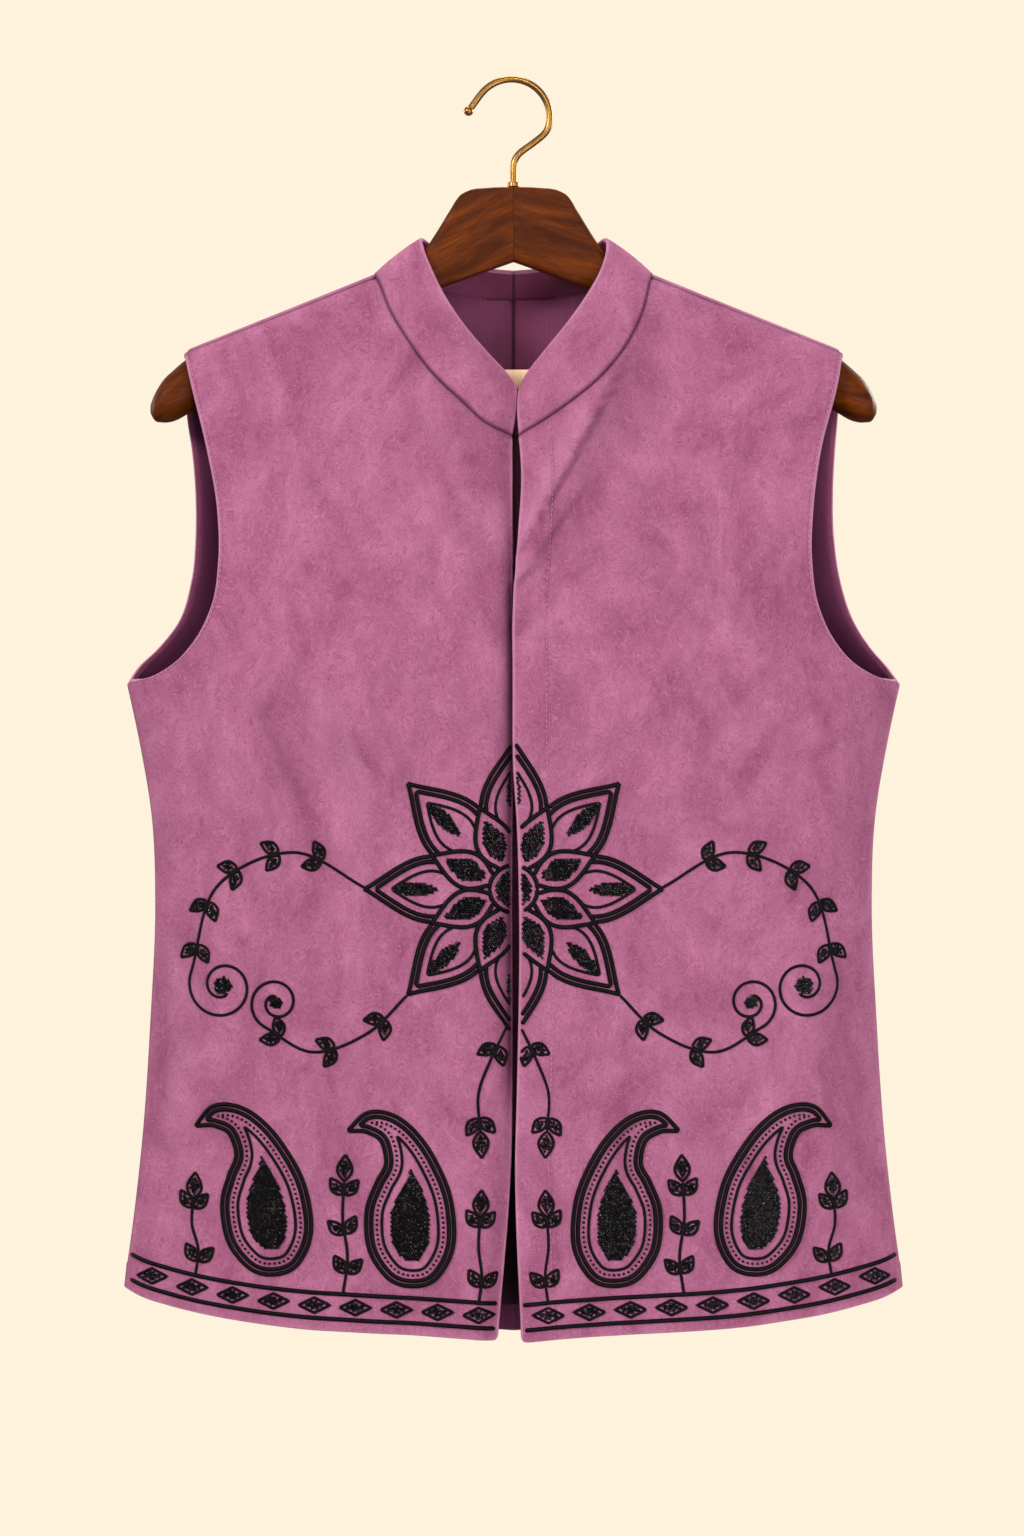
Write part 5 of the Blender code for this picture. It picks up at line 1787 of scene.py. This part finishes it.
def make_ornament(side, looks):
    """The cords and beads on one front."""
    cords, fills, strings = ornament()
    tubes = []
    for cord in cords:
        for run in kept_runs(side, cord):
            placed, up = front_surface(side, run)
            size = np.full(len(run), cord.radius)
            size[[0, -1]] *= CORD_END
            tubes.append(tube(placed + up * cord.radius * CORD_RISE, up, size, CORD_SIDES, CORD_FLATNESS))
    cording = add_mesh(f"ornament_cord_{side_name(side)}", joined(tubes), [looks.cord])
    placed, up = front_surface(side, bead_places(side, fills, strings))
    way = unit(np.random.default_rng(BEAD_SEED).normal(size=placed.shape))
    aside, tilt = unit(np.cross(up, way)), unit(up + BEAD_TILT * way)
    frames = np.stack([aside, np.cross(tilt, aside), tilt], 1)
    form = copies(bead_form(), placed + up * BEAD_RISE, frames)
    beads = add_mesh(f"ornament_beads_{side_name(side)}", form, [looks.beads])
    beads.data.shade_flat()
    return cording, beads


# ---- The hanger and its hook ---------------------------------------------------------------------


def make_arm(side, finish):
    """The arm's loft, finer than the part's, up to the glued joint."""
    stations = column(ARM, "out", "top", "bottom", "half", "squareness")
    keys = stations[:, 0]
    fine = [np.linspace(near, far, ARM_STEPS)[:-1] for near, far in zip(keys, keys[1:])]
    out = np.concatenate([*fine, keys[-1:]])
    top, bottom, half, squareness = smooth_curve(keys, stations[:, 1:], out).T
    out[0] = 0.0
    tall, middle = (top - bottom) / 2, (top + bottom) / 2
    turns = turns_round(ARM_SIDES, 0.5)
    power = (2 / np.where(squareness > BOARD, squareness * CRISPER, squareness))[:, None]
    across, up = (np.sign(wave) * np.abs(wave) ** power for wave in (np.sin(turns), np.cos(turns)))
    y = -SWEEP * (out / TIP)[:, None] ** 2 + half[:, None] * across
    z = middle[:, None] + tall[:, None] * up
    form = loft(line_of(side * out[:, None], y, z))
    name = f"hanger_arm_{side_name(side)}"
    replace_node(add_mesh(name + "_wood", form, [finish], sharp=SHARP_WOOD), name)


def make_hook(finish):
    """The wire hook as a smooth tube that swells to a ball at its open end."""
    centre = np.array([HOOK_SIDE, -(HOOK_RADIUS - WIRE)])
    turns = np.radians(np.linspace(HOOK_FROM, HOOK_TO, ARC_POINTS))
    arc = centre + HOOK_RADIUS * np.stack([np.cos(turns), np.sin(turns)], -1)
    # A few points of the arc's end lead the shank's curve on from it.
    shank = smooth_path(np.concatenate([arc[-12::5], column(SHANK, "x", "z")]))
    shank = shank[shank[:, 1] < arc[-1, 1]]
    pole = arc[0] + unit(arc[0] - arc[1]) * (TIP_RUN + BALL_RADIUS)
    path = evenly(np.concatenate([[pole], arc, shank, [[0.0, SHANK_END]]]), HOOK_STEP)
    window = np.hanning(2 * BEND_EASE + 3)[1:-1]
    eased = [np.convolve(axis, window / window.sum(), "valid") for axis in path.T]
    path = np.concatenate([path[:BEND_EASE], np.stack(eased, -1), path[-BEND_EASE:]])
    length = lengths_along(path)[-1]
    neck = math.pi - math.asin(WIRE / BALL_RADIUS)
    ball = BALL_RADIUS * (1 - np.cos(np.linspace(BALL_FIRST, neck, BALL_POINTS)))
    stations = np.concatenate([ball, np.arange(ball[-1] + HOOK_STEP, length, HOOK_STEP)])
    size = np.full(len(stations), WIRE)
    size[: len(ball)] = np.sqrt(BALL_RADIUS**2 - (BALL_RADIUS - ball) ** 2)
    x, z = along(path, stations / length).T
    wire = tube(line_of(x, 0.0, z), BACKWARD, size, ROUND_SIDES)
    replace_node(add_mesh("hook_wire", wire, [finish]), "hook")


def make_ferrule(finish):
    """The turned ring at the shank's foot."""
    foot = ARM[0].top + GAP
    top, edge = foot + FERRULE_HEIGHT, FERRULE_EDGE
    bore, brim = WIRE + GAP / 2, FERRULE_RADIUS - FERRULE_EDGE
    eased = np.linspace(math.pi / 2, 0, RING_POINTS)
    upper = [(brim + edge * math.cos(turn), top - edge + edge * math.sin(turn)) for turn in eased]
    profile = np.array([(bore, foot), (bore, top), *upper, (FERRULE_RADIUS, foot + edge), (brim, foot)])
    turns = turns_round(ROUND_SIDES)
    radius, z = profile.T[:, :, None]
    rings = line_of(radius * np.cos(turns), radius * np.sin(turns), z)
    made = add_mesh("ferrule_ring", loft(rings, looped=True), [finish], sharp=SHARP_BRASS)
    replace_node(made, "ferrule")


def make_bar(finish):
    """The trouser bar as a smooth rod with eased ends."""
    x = np.array([-BAR_HALF, BAR_EASE - BAR_HALF, 0.0, BAR_HALF - BAR_EASE, BAR_HALF])
    size = BAR_RADIUS - BAR_EASE * np.array([1, 0, 0, 0, 1])
    rod = tube(line_of(x, -SWEEP * (BAR_HALF / TIP) ** 2, BAR_HEIGHT), UP, size, ROUND_SIDES)
    replace_node(add_mesh("trouser_bar_wood", rod, [finish]), "trouser_bar")


def make_hanger():
    """The hanger's arms, bar, hook and ring. The bar's pale finish has a faint painted glow that stands in
    for strong light.
    """
    walnut = colour(108, 48, 7), colour(74, 30, 5), colour(132, 64, 13)
    for side, turn in ((RIGHT, RIGHT_GRAIN), (LEFT, LEFT_GRAIN)):
        make_arm(side, wood(f"walnut_{side_name(side)}", turn, *walnut, 0.42))
    beech = colour(255, 228, 190), colour(255, 208, 158), colour(255, 240, 212)
    # A faint painted glow on the bar, which is no lamp.
    painted_glow = {"Emission_Color": colour(255, 200, 140), "Emission_Strength": 0.25}
    make_bar(wood("beech", 0.0, *beech, 0.4, **painted_glow))
    brass = brass_finish()
    make_hook(brass)
    make_ferrule(brass)


# ---- The studio ----------------------------------------------------------------------------------

CREAM = colour(254, 242, 220)
AMBIENT = colour(250, 248, 255)
AMBIENT_STRENGTH, AMBIENT_BELOW = 0.34, 0.19  # weaker from under the jacket
DUSK = (-0.3, -0.1)  # heights on a unit ball of directions between which it weakens


def make_camera():
    """The view: level, straight on, from three metres."""
    data = bpy.data.cameras.new("camera")
    data.sensor_width = SENSOR
    data.lens = SENSOR * CAMERA_DISTANCE / VIEW_HEIGHT
    place = (CAMERA_X * MM, -CAMERA_DISTANCE * MM, CAMERA_Z * MM)
    bpy.context.scene.camera = place_object("camera", data, place, (math.pi / 2, 0, 0))


def make_light(light):
    """A soft square light aimed at the jacket's middle."""
    data = bpy.data.lights.new(light.name, "AREA")
    data.size = light.size
    data.energy = light.power
    data.color = [linear(channel) for channel in light.tint]
    place = (light.x, light.y, light.z)
    x, y, z = np.subtract(AIM, place)
    turned = (math.pi / 2 + math.atan2(z, math.hypot(x, y)), 0, math.atan2(-x, y))
    place_object(light.name, data, place, turned)


def make_world():
    """A plain cream studio, which lights the jacket softly from all round and less from below."""
    world = bpy.context.scene.world = bpy.data.worlds.new("studio")
    world.use_nodes = True
    tree = world.node_tree
    tree.nodes.clear()
    way = add_node(tree, "TexCoord").outputs["Generated"]
    height = add_node(tree, "SeparateXYZ", {"Vector": way}).outputs["Z"]
    strength = ramp(tree, height, *DUSK, AMBIENT_BELOW, AMBIENT_STRENGTH)
    around = add_node(tree, "Background", {"Color": AMBIENT, "Strength": strength}).outputs[0]
    seen = add_node(tree, "Background", {"Color": CREAM, "Strength": 1.0}).outputs[0]
    is_seen = add_node(tree, "LightPath").outputs["Is Camera Ray"]
    both = add_node(tree, "MixShader", {0: is_seen, 1: around, 2: seen}).outputs[0]
    add_node(tree, "OutputWorld", {"Surface": both})


def main():
    bpy.context.scene.view_settings.view_transform = "Standard"
    make_camera()
    for light in LIGHTS:
        make_light(light)
    make_world()
    make_jacket()
    make_hanger()


main()
